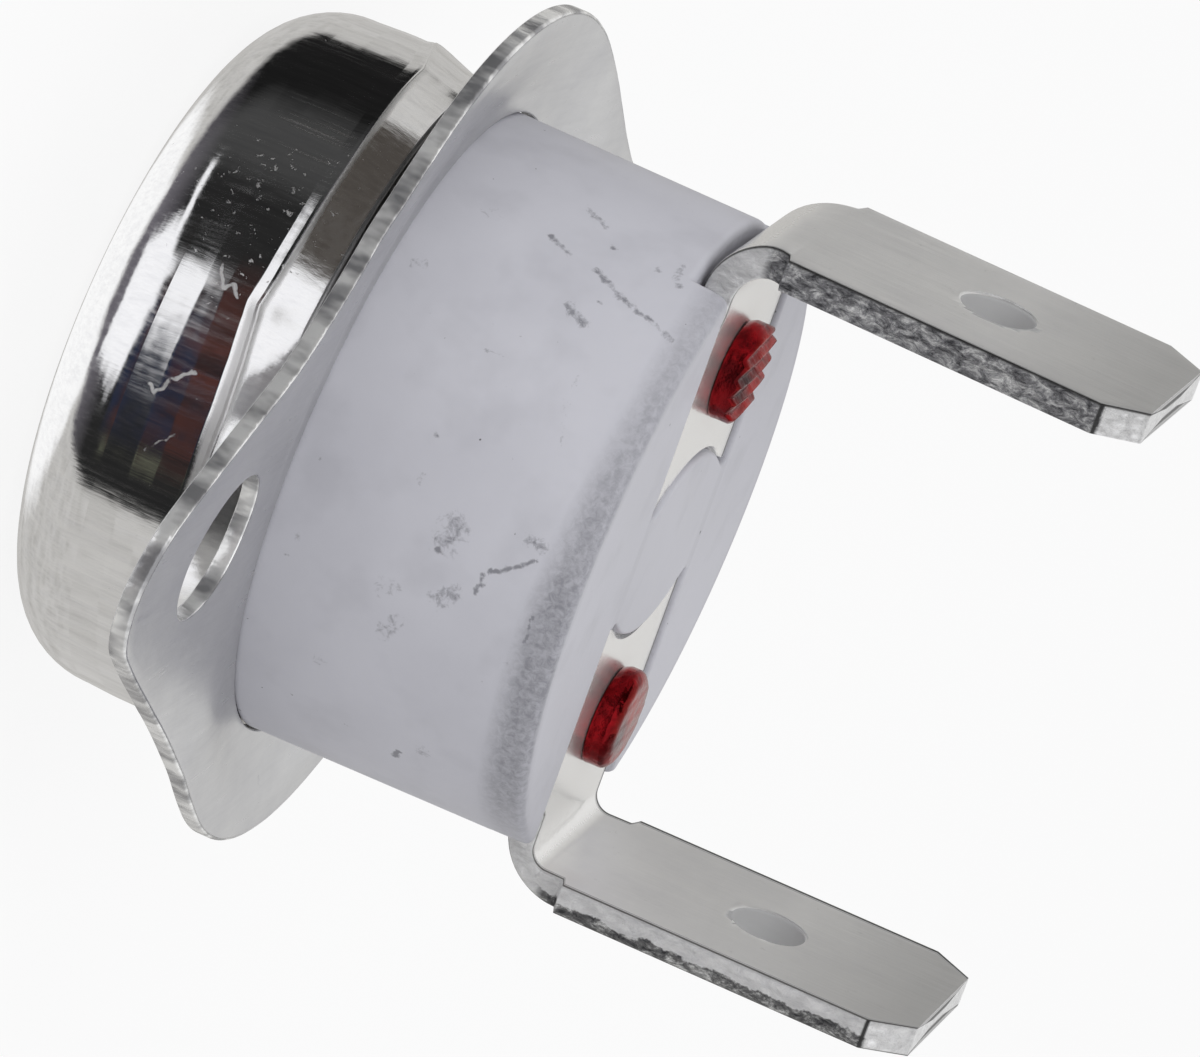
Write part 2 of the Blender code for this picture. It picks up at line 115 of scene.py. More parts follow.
def piece_of(name, grids, finish, marks=None, sharp=35):
    """Makes one closed piece of grids of points in mm. Neighbouring rows and columns of a grid span its
    faces, and points that fall on each other are merged, which closes seams, poles and joins between grids.
    Marks are named rows of numbers on the same grids, which the finish reads as attributes."""
    points = np.concatenate([g.reshape(-1, 3) for g in grids]) * MM
    quads = []
    first = 0
    for g in grids:
        number = first + np.arange(g.shape[0] * g.shape[1]).reshape(g.shape[:2])
        ring = (number[:-1, :-1], number[:-1, 1:], number[1:, 1:], number[1:, :-1])
        quads.append(np.stack(ring, -1).reshape(-1, 4))
        first += number.size
    mesh = bpy.data.meshes.new(name)
    mesh.from_pydata(points.tolist(), [], np.concatenate(quads).tolist())
    for label, values in (marks or {}).items():
        layer = mesh.attributes.new(label, "FLOAT", "POINT")
        layer.data.foreach_set("value", np.concatenate([m.reshape(-1) for m in values]).astype(np.float32))
    bm = bmesh.new()
    bm.from_mesh(mesh)
    bmesh.ops.remove_doubles(bm, verts=bm.verts, dist=0.000001)
    bmesh.ops.recalc_face_normals(bm, faces=bm.faces)
    bm.to_mesh(mesh)
    bm.free()
    mesh.shade_smooth()
    mesh.set_sharp_from_angle(angle=math.radians(sharp))
    mesh.materials.append(finish)
    piece = bpy.data.objects.new(name, mesh)
    bpy.context.scene.collection.objects.link(piece)
    return piece


class Value:
    """Number, colour or place that a node gives out. Sums written with it add the nodes that work them
    out."""

    def __init__(self, node, output=0):
        self.socket = node.outputs[output]
        self.tree = node.id_data

    def __add__(self, other):
        return calc("ADD", self, other)

    def __sub__(self, other):
        return calc("SUBTRACT", self, other)

    def __rsub__(self, other):
        return calc("SUBTRACT", other, self)

    def __mul__(self, other):
        return calc("MULTIPLY", self, other)


def new_finish(name, colour, metallic, roughness):
    """Returns a material and its main shader, with the uniform values set on the shader's own sockets."""
    finish = bpy.data.materials.new(name)
    finish.use_nodes = True
    shader = finish.node_tree.nodes["Principled BSDF"]
    shader.inputs["Base Color"].default_value = (*colour, 1)
    shader.inputs["Metallic"].default_value = metallic
    shader.inputs["Roughness"].default_value = roughness
    return finish, shader


def add(tree, kind, inputs=None, **settings):
    """Adds a node. Each input is a plain number or row of numbers, or the value that another node gives
    out."""
    node = tree.nodes.new("ShaderNode" + kind)
    for key, setting in settings.items():
        setattr(node, key, setting)
    for key, value in (inputs or {}).items():
        if isinstance(value, Value):
            tree.links.new(value.socket, node.inputs[key])
        else:
            node.inputs[key].default_value = value
    return node


def worked(kind, inputs, output=0, **settings):
    """What a new node makes of its inputs. It goes into the tree that the first value among them is in."""
    tree = next(value.tree for value in inputs.values() if isinstance(value, Value))
    return Value(add(tree, kind, inputs, **settings), output)


def calc(operation, a, b=0.0, clamp=False):
    """One sum on two values or numbers."""
    return worked("Math", {0: a, 1: b}, operation=operation, use_clamp=clamp)


def vector(operation, inputs, output=0):
    """One sum on places or directions."""
    return worked("VectorMath", inputs, output, operation=operation)


def greater(a, b):
    """The greater of two values."""
    return calc("MAXIMUM", a, b)


def grown(value, start, end, most=1.0, least=0.0):
    """Share that goes from least to most as a value goes from start to end."""
    span = {"Value": value, "From Min": start, "From Max": end, "To Min": least, "To Max": most}
    return worked("MapRange", span)


def rgba(tone):
    """A colour, or a grey given as one number, with its opacity."""
    return (*tone, 1) if isinstance(tone, tuple) else (tone, tone, tone, 1)


def ramp(value, *stops):
    """Colour or grey by value: stops are (position, colour or grey)."""
    node = add(value.tree, "ValToRGB", {"Fac": value})
    band = node.color_ramp
    while len(band.elements) < len(stops):
        band.elements.new(0.5)
    for element, (position, tone) in zip(band.elements, stops):
        element.position = position
        element.color = rgba(tone)
    return Value(node, "Color")


def blended(share, a, b):
    """Colour b over colour a by a share."""
    a, b = (tone if isinstance(tone, Value) else rgba(tone) for tone in (a, b))
    return worked("Mix", {"Factor": share, 6: a, 7: b}, 2, data_type="RGBA")


def place(finish, squeeze=(1, 1, 1)):
    """Object coordinates, squeezed along each axis so that a pattern runs long where the number is small."""
    coords = Value(add(finish.node_tree, "TexCoord"), "Object")
    return worked("Mapping", {"Vector": coords, "Scale": squeeze})


def part_of(where, axis):
    """One part, X, Y or Z, of a place or a direction."""
    return worked("SeparateXYZ", {"Vector": where}, axis)


def mark(finish, label):
    """The numbers that the piece itself carries under a name."""
    return Value(add(finish.node_tree, "Attribute", attribute_name=label), "Fac")


def noise(where, size, detail=3.0, rough=0.55, warp=0.0):
    """Soft noise whose patches are about size mm across."""
    settings = {"Scale": 1.0 / (size * MM), "Detail": detail, "Roughness": rough, "Distortion": warp}
    return worked("TexNoise", {"Vector": where, **settings}, "Fac")


def relief(shader, height, depth):
    """Raises the surface by height times depth, in mm."""
    drive(shader, "Normal", worked("Bump", {"Height": height, "Strength": 1.0, "Distance": depth * MM}))


def drive(node, key, value):
    """Links a value to one of a node's inputs."""
    value.tree.links.new(value.socket, node.inputs[key])


def on_side(radius, degrees, height):
    """Point in mm on an upright cylinder, its angle counted from the side that faces the camera."""
    a = math.radians(degrees + FRONT_ANGLE)
    return np.array([radius * math.cos(a), radius * math.sin(a), height])


def wobbled(finish, size, amount):
    """Object coordinates that wander by up to about amount mm over patches of about size mm."""
    coords = Value(add(finish.node_tree, "TexCoord"), "Object")
    drift = worked("TexNoise", {"Vector": coords, "Scale": 1.0 / (size * MM), "Detail": 2.0}, "Color")
    drift = vector("SUBTRACT", {0: drift, 1: (0.5, 0.5, 0.5)})
    drift = vector("SCALE", {0: drift, "Scale": 2 * amount * MM})
    return vector("ADD", {0: coords, 1: drift})


def scored(where, start, end, width, strength=1.0):
    """Share that is highest on the line between two points, in mm, and fades out at width mm from it."""
    along = (end - start) * MM
    apart = vector("SUBTRACT", {0: where, 1: tuple(start * MM)})
    scale = tuple(along / max(along @ along, 1e-12))
    part = vector("DOT_PRODUCT", {0: apart, 1: scale}, "Value")
    part = calc("ADD", part, 0.0, clamp=True)
    foot = vector("SCALE", {0: tuple(along), "Scale": part})
    off = vector("DISTANCE", {0: apart, 1: foot}, "Value")
    return grown(off, 0.2 * width * MM, width * MM, 0.0, strength)


def all_scored(where, radius, lines):
    """The strongest of many marks on a cylinder. Each is a width, a strength and a row of (degrees,
    height)."""
    most = None
    for width, strength, *turns in lines:
        row = [on_side(radius, *turn) for turn in turns]
        for start, end in zip(row, row[1:] or row):
            share = scored(where, start, end, width, strength)
            most = greater(most, share) if most else share
    return most


def spot(where, centre, size, strength=1.0):
    """Share that is highest at a point, in mm, and fades out at a distance of size mm."""
    centre = np.asarray(centre, float)
    return scored(where, centre, centre, size, strength)


CAP_SCRATCHES = (
    (0.07, 1.0, (-8.2, 3.95), (-9.6, 3.78), (-8.4, 3.62), (-10.0, 3.42), (-11.5, 3.3)),
    (0.06, 0.9, (5.2, 3.8), (6.2, 3.5), (8.2, 3.25), (10.4, 3.02), (9.4, 2.86)),
    (0.05, 0.7, (15.0, 3.9), (17.5, 3.55), (19.0, 3.3)))


def cap_finish():
    """Mirror-bright aluminium: fine streaks along the drawing direction, white specks from rubbing, three
    scratches, a painted highlight along the ridge, a pale band under it painted as a white reflection, and
    painted shade where the rim is curled in."""
    finish, shader = new_finish("polished_aluminium", (0.93, 0.93, 0.93), 1.0, 0.07)
    where = place(finish)
    streaks = noise(place(finish, (1, 1, 0.06)), 0.16, 4.0, 0.7)
    cloud = noise(where, 2.4, 3.0)
    near = spot(where, on_side(CAP_R, -25, 3.6), 4.2, 0.10)
    specks = noise(where, 0.22, 4.0, 0.65, 0.4) + near
    specks = ramp(specks, (0.0, 0.0), (0.725, 0.0), (0.76, 1.0), (1.0, 1.0))
    comb = noise(place(finish, (1, 1, 0.03)), 0.11, 2.0)
    comb = ramp(comb, (0.0, 0.0), (0.56, 0.0), (0.64, 0.55), (1.0, 0.55))
    comb = comb * spot(where, on_side(CAP_R, -38, 3.5), 2.2)
    lines = all_scored(wobbled(finish, 0.3, 0.12), CAP_R - 0.06, CAP_SCRATCHES)
    # The worn mark here is painted light: a painted highlight along the ridge crest, and a pale band under
    # the ridge painted as the white reflection it shows. The specks, comb marks and scratches are real marks.
    bare_and_highlit = greater(greater(specks, comb), greater(lines, mark(finish, "worn")))
    tone = ramp(streaks, (0.3, (0.84, 0.84, 0.85)), (0.6, 0.95))
    tone = blended(bare_and_highlit, tone, (0.99, 0.99, 0.98))
    # Painted shade: the curled-in top of the rim, above 5.78 mm, is darkened as the shade in the gap under
    # the flange.
    curled = grown(part_of(where, "Z"), 5.78 * MM, 5.98 * MM)
    drive(shader, "Base Color", blended(curled, tone, (0.16, 0.15, 0.14)))
    gloss = ramp(streaks, (0.35, 0.05), (0.7, 0.17))
    drive(shader, "Roughness", blended(bare_and_highlit, gloss, 0.6))
    relief(shader, streaks * 0.12 + cloud * 1.2, 0.02)
    return finish


def cap_line():
    """Line of the cup's section: flat face, rounded corner, a wall that swells a little and flares to the
    ridge, the rolled shoulder with its curled end, and back inside."""
    wall = CAP_R - 0.11
    outer = rounded([(0, 0), (wall, 0), (wall, CAP_CORNER + 0.12), (wall + 0.045, 3.1), (wall + 0.055, 3.7),
                     (wall + 0.05, RIDGE_Z - 0.42), (wall + 0.087, RIDGE_Z - 0.14),
                     (wall + 0.087, RIDGE_Z - 0.06), (CAP_R, RIDGE_Z), (ROLL_R, 5.9), (8.3, ROLL_TOP)],
                    (0, CAP_CORNER, 0.05, 2.0, 2.0, 0.3, 0.05, 0.03, 0.04, 0.2, 0), 14)
    inner = rounded([(8.2, ROLL_TOP - 0.08), (8.2, 5.8), (CAP_R - CAP_WALL, RIDGE_Z - 0.3),
                     (CAP_R - CAP_WALL, CAP_WALL), (0, CAP_WALL)], (0, 0.1, 0.2, CAP_CORNER - CAP_WALL, 0))
    return np.concatenate([filled(outer, 0.15), filled(inner, 0.5)])


def cap_grid():
    """The turned section, with ripples: the radius swells by a few thousandths of a mm along slow waves,
    and the ridge rises and falls, with one small kink. The share that moves fades out below and above the
    ridge."""
    grid = turned(cap_line(), 300)
    a = np.arctan2(grid[..., 1], grid[..., 0])
    r = np.hypot(grid[..., 0], grid[..., 1])
    z = grid[..., 2].copy()
    turn = (np.degrees(a) - FRONT_ANGLE + 180) % 360 - 180
    pull = np.clip((z - 3.0) / (RIDGE_Z - 3.0), 0, 1) * np.clip((ROLL_TOP - z) / (ROLL_TOP - RIDGE_Z), 0, 1)
    grid[..., 2] += (np.interp(turn, RIDGE_TURNS, RIDGE_HEIGHTS) - RIDGE_Z) * pull
    wave = np.sin(3 * a + 0.5) * 0.006 + np.sin(8 * a + 1.7 * z) * 0.003
    wave = wave + np.sin(17 * a - 2.3 * z + 1) * 0.0012
    dent = -0.03 * np.exp(-((turn + 8) / 1.6) ** 2) * np.exp(-((z - RIDGE_Z) / 0.5) ** 2)
    tuck = -0.24 * np.exp(-((turn + 98) / 20) ** 2) * np.clip((z - RIDGE_Z - 0.05) / 0.7, 0, 1)
    dent = dent + tuck * np.clip((5.95 - z) / 0.2, 0, 1) * (r > CAP_R - 0.5)
    lift = np.clip((z - 0.3) / 1.5, 0, 1) * np.clip((ROLL_TOP - z) / 0.6, 0, 1)
    grow = 1 + (wave * lift + dent) / CAP_R
    grid[..., 0] *= grow
    grid[..., 1] *= grow
    # Painted highlight: a pale line along the ridge crest, four times stronger on the side that faces the
    # camera. Below it, the band from 4.40 to 4.80 mm high, from -10 to 70 degrees round, is painted pale and
    # rough as the white reflection under the ridge.
    worn = np.exp(-((z - RIDGE_Z) / 0.035) ** 2) * (r > CAP_R - 0.1)
    worn = worn * np.clip((40 - np.abs(turn + 25)) / 10, 0.25, 1)
    painted_reflection_band = np.clip((z - 4.40) / 0.06, 0, 1) * np.clip((4.80 - z) / 0.06, 0, 1)
    painted_reflection_band = painted_reflection_band * np.clip((turn + 10) / 4, 0, 1) * (turn < 70) * (r > CAP_R - 0.2)
    return grid, np.maximum(worn, 0.7 * painted_reflection_band)


grid, worn = cap_grid()
cap = piece_of("cap_shell", [grid], cap_finish(), marks={"worn": [worn]}, sharp=50)
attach(cap, "housing")
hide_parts("sensing_cap")

# Snap disc
# A thin round blank of two metals rolled together. It is pressed to a shallow dish, and snaps over to the
# other side when it is warm. It lies loose under the guide, a little above the floor of the cap.
DISC_R = 7.2
DISC_Z = 1.25
DISC_T = 0.2
DISC_DISH = 0.35


def disc_finish():
    """Bare rolled strip: straight grain in one direction and a faint straw tint from its heat treatment."""
    finish, shader = new_finish("bimetal_strip", (0.62, 0.55, 0.45), 1.0, 0.35)
    grain = noise(place(finish, (0.05, 1, 1)), 0.15, 4.0, 0.7)
    tint = noise(place(finish), 3.0)
    drive(shader, "Base Color", ramp(tint, (0.3, (0.60, 0.52, 0.40)), (0.7, (0.68, 0.63, 0.55))))
    drive(shader, "Roughness", ramp(grain, (0.3, 0.28), (0.7, 0.42)))
    relief(shader, grain, 0.004)
    return finish


def disc_grid():
    """Both faces of the dish: height = rim height - dish * (1 - (radius / rim radius) squared)."""
    line = rounded([(0, 0), (DISC_R, 0), (DISC_R, DISC_T), (0, DISC_T)], (0, 0.06, 0.06, 0), 3)
    line = evenly(line, 0.3)
    line[:, 1] += DISC_Z - DISC_DISH * (1 - (line[:, 0] / DISC_R) ** 2)
    line[:, 0] = np.where(line[:, 0] < 0.2, 0, line[:, 0])
    return turned(line, 120)


disc = piece_of("snap_disc", [disc_grid()], disc_finish())
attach(disc, "housing")
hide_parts("bimetal_disc")
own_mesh(disc)

# Guide and push pin
# The guide is a moulded brown plate that holds the disc down and carries the pin in its boss. The pin is a
# small turned ceramic rod that passes the disc's snap on to the spring leaf. Both stay as the model has them.


def dress(node, finish):
    """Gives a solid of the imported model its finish, in its own material slots."""
    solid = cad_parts[node]
    if not solid.material_slots:
        solid.data.materials.append(finish)
    for held in solid.material_slots:
        held.material = finish


def grained_finish(name, colour, metallic, roughness, grain, tones, roughs=None, along=1, at=(0.3, 0.7),
                   depth=0.004):
    """Finish whose one grain sets tone, gloss and relief. The grain is given as size, detail and roughness,
    and runs long in x where along is small. Tones and roughs are for its low and its high parts."""
    finish, shader = new_finish(name, colour, metallic, roughness)
    height = noise(place(finish, (along, 1, 1)), *grain)
    drive(shader, "Base Color", ramp(height, (at[0], tones[0]), (at[1], tones[1])))
    if roughs:
        drive(shader, "Roughness", ramp(height, (0.3, roughs[0]), (0.7, roughs[1])))
    relief(shader, height, depth)
    return finish


compound = grained_finish("moulded_guide", (0.25, 0.16, 0.10), 0.0, 0.6, (0.35, 5.0, 0.7),
                          ((0.17, 0.10, 0.06), (0.30, 0.20, 0.13)), (0.5, 0.7), at=(0.35, 0.6), depth=0.01)
dress("disc_guide", compound)
unglazed = grained_finish("pin_ceramic", (0.85, 0.84, 0.80), 0.0, 0.5, (0.2, 4.0),
                          ((0.80, 0.79, 0.75), (0.88, 0.87, 0.84)))
dress("push_pin", unglazed)

# Ceramic housing
# A pressed and fired steatite body: a foot that the cap grips, a plain barrel, a hollow for the contacts
# below and, on top, two pockets for the terminal strips with a waisted barrier between them. Handling has
# left rub marks on it. Painted shade darkens the pocket walls and part of the band below the rim.
BARREL_R = 8.3
BODY_TOP = 14.45
BODY_Z = 2.55
FOOT_R = 8.7
FOOT_TOP = 4.05
NECK_R = 8.05
GROOVE_Z = 4.55
GROOVE_TOP = 6.45
EVEN_Z = 12.6
DRAFT = 0.12
EDGE_R = 0.22
CHAMBER_R = 7.0
ROOF_Z = 9.75
POCKET_Z = 13.45
POCKET_HALF = 3.2
MOUTH_R = 0.5
BARRIER_HALF = 2.45
BARRIER_ARC = 4.8
CORNER_FILL = 0.6
WALL_BAND = np.array([-0.17, -0.13, -0.09, -0.06, -0.04, 0.04, 0.06, 0.09, 0.13, 0.17])


def barrier_side(y):
    """Distance of the barrier's rounded side from the middle: an arc of a circle, held beyond the pockets,
    with the sharp corners beside it filled: fill * (1 - sqrt(1 - t squared)), t growing to the pocket's
    wall."""
    reach = np.minimum(np.abs(y), POCKET_HALF + 0.2)
    t = np.clip((reach - POCKET_HALF + CORNER_FILL) / CORNER_FILL, 0, 0.97)
    arc = BARRIER_HALF - BARRIER_ARC + np.sqrt(BARRIER_ARC ** 2 - reach ** 2)
    return arc + CORNER_FILL * (1 - np.sqrt(1 - t * t))


def wall_share(s):
    """Depth share of a pocket at distance s from its wall line: 1 inside, 0 outside, with a rounded foot and
    a rounded edge, each an eighth of the depth high, and a straight wall between."""
    foot = 1 - 0.13 * (1 - np.sqrt(np.clip(1 - ((s + 0.17) / 0.13) ** 2, 0, 1)))
    edge = 0.13 * (1 - np.sqrt(np.clip(1 - ((0.17 - s) / 0.13) ** 2, 0, 1)))
    wall = 0.87 - 0.74 * (s + 0.04) / 0.08
    share = np.where(s < -0.04, foot, np.where(s > 0.04, edge, wall))
    return np.where(s < -0.17, 1, np.where(s > 0.17, 0, share))


def spread(*runs):
    """Joins runs of (start, end, steps) into one rising row of numbers."""
    parts = [np.linspace(a, b, n, endpoint=False) for a, b, n in runs]
    return np.concatenate([*parts, [runs[-1][1]]])


def housing_grids():
    """Top and side of the housing. The top is a warped sheet: its columns follow the barrier's sides, its
    rows follow the pockets' walls, and its height drops by the pocket's depth times the lesser of both wall
    shares. Its border runs on as rings: edge rounding, barrel, groove, foot, and up inside the hollow to
    the roof."""
    top_r = BARREL_R - EDGE_R
    w = POCKET_HALF
    band = WALL_BAND
    half = np.concatenate([np.linspace(0, w + band[0], 16, endpoint=False), w + band,
                           top_r * np.sin(np.linspace(np.arcsin((w + 0.25) / top_r), np.pi / 2, 38))])
    y = np.concatenate([-half[:0:-1], half])[:, None]
    r = np.sqrt(np.clip(top_r ** 2 - y ** 2, 0, None))
    b = np.minimum(barrier_side(y), 0.45 * r)
    k = np.minimum(1, r / 4)
    inner = np.linspace(0, 1, 12, endpoint=False)[None, :] * (b + k * band[0])
    near = b + k * band[None, :]
    outer = near[:, -1:] + np.linspace(0, 1, 20)[None, 1:] * (r - near[:, -1:])
    right = np.concatenate([inner, near, outer], 1)
    x = np.concatenate([-right[:, :0:-1], right], 1)
    mouth = math.sqrt(BARREL_R ** 2 - w ** 2)
    turn = np.clip((np.abs(x) - mouth + MOUTH_R) / MOUTH_R, 0, 1)
    flare = MOUTH_R * (1 - np.sqrt(1 - np.minimum(turn, 0.97) ** 2))
    window = np.clip((np.abs(y) - w + 1.2) / 0.9, 0, 1) * np.clip((w + 2.4 - np.abs(y)) / 2.0, 0, 1)
    y = y + np.sign(y) * flare * window
    end = np.sqrt(np.clip(top_r ** 2 - y[:, -1:] ** 2, 0, None))
    stretch = np.where(r > 0.01, end / np.maximum(r, 0.01), 1)
    x = x * (1 + (stretch - 1) * (np.abs(x) / np.maximum(r, 0.01)) ** 6)
    side = np.abs(y) - w - flare * (window > 0.5)
    share = np.minimum(wall_share(side), wall_share((barrier_side(y) - np.abs(x)) / np.maximum(k, 0.05)))
    z = BODY_TOP - (BODY_TOP - POCKET_Z) * share
    top = np.stack([x, y + 0 * x, z], -1)
    border = np.concatenate([top[:, -1], top[::-1, 0]])
    border = np.concatenate([border, border[:1]])
    a = np.arctan2(border[:, 1], border[:, 0])[None, :]
    rim_z = border[:, 2][None, :]
    q = np.linspace(0, np.pi / 2, 6)[:, None]
    ring_r = top_r + EDGE_R * np.sin(q)
    ring_z = rim_z - EDGE_R * (1 - np.cos(q))
    fall = np.linspace(0, 1, 12)[1:, None]
    drop_z = (rim_z - EDGE_R) * (1 - fall) + EVEN_Z * fall
    line = rounded([(BARREL_R, EVEN_Z), (BARREL_R, GROOVE_TOP), (NECK_R, GROOVE_TOP), (NECK_R, GROOVE_Z),
                    (FOOT_R, FOOT_TOP), (FOOT_R, BODY_Z), (CHAMBER_R, BODY_Z), (CHAMBER_R, ROOF_Z),
                    (0, ROOF_Z)], (0, 0.06, 0.05, 0.1, 0.08, 0.15, 0.1, 0.3, 0), 4)
    line = evenly(line, 0.3)
    rows_r = np.concatenate([ring_r, 0 * fall + BARREL_R, line[1:, :1]])
    rows_z = np.concatenate([ring_z, drop_z, line[1:, 1:] + 0 * a])
    draft = DRAFT * np.clip((BODY_TOP - rows_z) / (BODY_TOP - GROOVE_TOP), 0, 1)
    draft = draft * (rows_z > GROOVE_TOP - 0.01)
    rows_r = rows_r + draft * np.clip((rows_r - NECK_R - 0.05) / 0.15, 0, 1)
    shell = np.stack([rows_r * np.cos(a), rows_r * np.sin(a), rows_z], -1)
    turn = (np.degrees(a) - FRONT_ANGLE + 180) % 360 - 180
    # The band below the rim is partly rub wear and partly painted shade: its strength by turn, highest from 5
    # to 60 degrees, darkens the shaded side.
    most = np.interp(turn, (-75, -45, -20, 5, 18, 60, 80), (0.15, 0.50, 0.70, 0.90, 1.10, 1.00, 0.40))
    start = np.interp(turn, (-20, 20), (13.5, 13.15))
    band = np.clip((rows_z - start) / 0.6, 0, 1) * np.clip((rows_r - BARREL_R + 0.3) / 0.2, 0, 1) * most
    rim = np.clip((np.hypot(top[..., 0], top[..., 1]) - BARREL_R + 0.55) / 0.35, 0, 1) * 0.3
    # Painted shade: a thin dark line along the pocket walls, 14.1 mm high.
    edge = np.exp(-((z - 14.1) / 0.28) ** 2) * (np.abs(side) < 0.2) * 0.8
    return [top, shell], [np.maximum(rim, edge), band]


BARREL_MARKS = (
    (0.16, 0.55, (-33, 13.8), (-34.5, 13.2), (-36, 12.5), (-36.8, 12.1), (-38.6, 11.7), (-40, 11.2)),
    (0.14, 0.45, (-40.8, 10.5), (-42.8, 9.9)),
    (0.17, 0.75, (-42.8, 9.86)),
    (0.22, 0.45, (-46, 13.0), (-50, 13.0)),
    (0.20, 0.5, (-44.6, 13.2)),
    (0.26, 0.35, (-46, 12.5)),
    (0.18, 0.5, (-50.8, 10.8), (-53, 10.2)),
    (0.18, 0.6, (-46.4, 11.3)),
    (0.24, 0.5, (-29.0, 11.7), (-31, 11.1)),
    (0.13, 0.5, (-34, 11.75)),
    (0.10, 0.35, (-17.9, 10.3), (-17.0, 9.6)),
    (0.14, 0.25, (-8, 12.6), (-13, 12.3), (-20, 12.2)),
    (0.12, 0.5, (-1, 9.7)),
    (0.16, 0.4, (6, 9.75), (7.4, 9.8)),
    (0.34, 0.5, (9, 13.1), (8.6, 12.8)),
    (0.14, 0.75, (11.6, 13.1), (13.6, 12.8), (15.0, 12.45), (16.4, 12.15)),
    (0.16, 1.0, (16.4, 12.15)),
    (0.13, 0.7, (17.6, 12.05), (18.8, 12.12), (20.6, 12.0)),
    (0.12, 0.85, (20.8, 13.5), (22.4, 13.55), (25.6, 13.55)),
    (0.30, 0.4, (30.4, 13.3)),
    (0.62, 0.5, (11.5, 11.0), (14.5, 10.9)),
    (0.20, 0.75, (16.4, 10.8)),
    (0.42, 0.5, (22.4, 11.5), (24.2, 11.2)),
    (0.42, 0.35, (25.5, 10.1), (27.0, 9.8)),
    (0.60, 0.3, (31.5, 10.3), (34.0, 10.1)),
    (0.36, 0.35, (46, 8.7)),
    (0.40, 0.35, (57.8, 11.7)),
    (0.16, 0.8, (61.5, 11.05), (63.5, 10.95)),
    (0.13, 0.9, (28.0, 7.28)),
    (0.12, 0.6, (10.2, 7.25)),
    (0.20, 0.4, (24.5, 7.4)),
    (0.50, 0.2, (-43.5, 8.5), (-42, 8.1)),
    (0.30, 0.3, (-27.5, 7.5), (-25.5, 7.3)))


def ceramic_finish():
    """Cool white body under a thin matt glaze: faint mottling, grey smudges and hairlines from handling, a
    few black pits, a band below the rim darkened partly by rubbing and partly as painted shade, and a thin
    line of painted shade along the pocket walls."""
    finish, shader = new_finish("glazed_ceramic", (0.60, 0.60, 0.65), 0.0, 0.42)
    where = place(finish)
    mottle = noise(where, 3.5, 4.0)
    tone = ramp(mottle, (0.3, (0.575, 0.575, 0.625)), (0.7, (0.625, 0.625, 0.675)))
    grit = noise(where, 0.22, 5.0, 0.75, 0.5)
    lines = all_scored(wobbled(finish, 0.28, 0.11), BARREL_R + 0.5 * DRAFT, BARREL_MARKS)
    smudged = grown(lines + (grit - 0.5) * 1.5, 0.29, 0.66, 0.72)
    # The worn mark darkens a band below the rim, partly rub wear and partly painted shade, and a thin line of
    # painted shade along the pocket walls.
    rub_and_shade = mark(finish, "worn") * ramp(grit, (0.0, 0.30), (0.38, 0.34), (0.62, 0.66), (1.0, 0.66))
    patch = ramp(noise(where, 2.0, 3.0), (0.0, 0.0), (0.52, 0.0), (0.70, 0.09), (1.0, 0.09))
    tone = blended(greater(rub_and_shade, greater(smudged, patch)), tone, (0.13, 0.13, 0.15))
    pitted = ramp(noise(where, 0.28, 2.0), (0.0, 0.0), (0.765, 0.0), (0.785, 1.0), (1.0, 1.0))
    drive(shader, "Base Color", blended(pitted, tone, (0.12, 0.12, 0.13)))
    drive(shader, "Roughness", ramp(mottle, (0.3, 0.38), (0.7, 0.5)))
    relief(shader, noise(where, 0.3, 4.0), 0.006)
    return finish


grids, marks = housing_grids()
housing = piece_of("ceramic_housing", grids, ceramic_finish(), marks={"worn": marks}, sharp=40)
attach(housing, "housing")
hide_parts("ceramic_body")

# Contact leaf
# A strip of spring bronze, blanked and folded once. It is riveted under the roof of the housing, slopes down
# and reaches over the push pin to its silver contact, and bends as the pin lifts it.
LEAF_T = 0.2
LEAF_W = 3.4
LEAF_Z = 6.75
LEAF_FOLD = 3.35
LEAF_FOOT = 1.65
LEAF_TIP = 4.4
GAP = 0.1
RIVET_X = 4.85
RIVET_HOLE_R = 1.0


def section(half, thick, edge, across=9):
    """Closed line round a flat strip's section, as (sideways, through the thickness), with rounded edges."""
    corners = [(-half, -thick / 2), (half, -thick / 2), (half, thick / 2), (-half, thick / 2)]
    arcs = rounded(corners, (edge,) * 4, 4).reshape(4, -1, 2)
    t = np.linspace(0, 1, across)[1:-1, None]
    runs = []
    for k in range(4):
        start, end = arcs[k][-1], arcs[(k + 1) % 4][0]
        runs += [arcs[k], start + (end - start) * (t if k % 2 == 0 else t[::3])]
    line = np.concatenate(runs)
    return np.concatenate([line, line[:1]])


def leaf_grid():
    """The section carried along the leaf's folded line: sideways along y, its thickness along the line's
    normal. Both ends close on the middle of the section."""
    high = ROOF_Z - GAP - LEAF_T / 2
    low = LEAF_Z + LEAF_T / 2
    path = rounded([(RIVET_X + 1.4, high), (LEAF_FOLD, high), (LEAF_FOOT, low), (-LEAF_TIP, low)],
                   (0, 0.5, 0.5, 0), 8)
    path = evenly(path, 0.2)
    along = np.gradient(path, axis=0)
    along /= np.linalg.norm(along, axis=1)[:, None]
    normal = np.stack([-along[:, 1], along[:, 0]], -1)
    loop = section(LEAF_W / 2, LEAF_T, 0.05)
    loop = np.stack([loop[:, 0] * 0, *loop.T], 0)
    sizes = np.concatenate([[0], np.ones(len(path)), [0]])
    path = np.concatenate([path[:1], path, path[-1:]])
    normal = np.concatenate([normal[:1], normal, normal[-1:]])
    depth = loop[2][None, :] * sizes[:, None]
    x = path[:, :1] + normal[:, :1] * depth
    z = path[:, 1:] + normal[:, 1:] * depth
    y = loop[1][None, :] * sizes[:, None]
    return np.stack([x, y, z], -1)


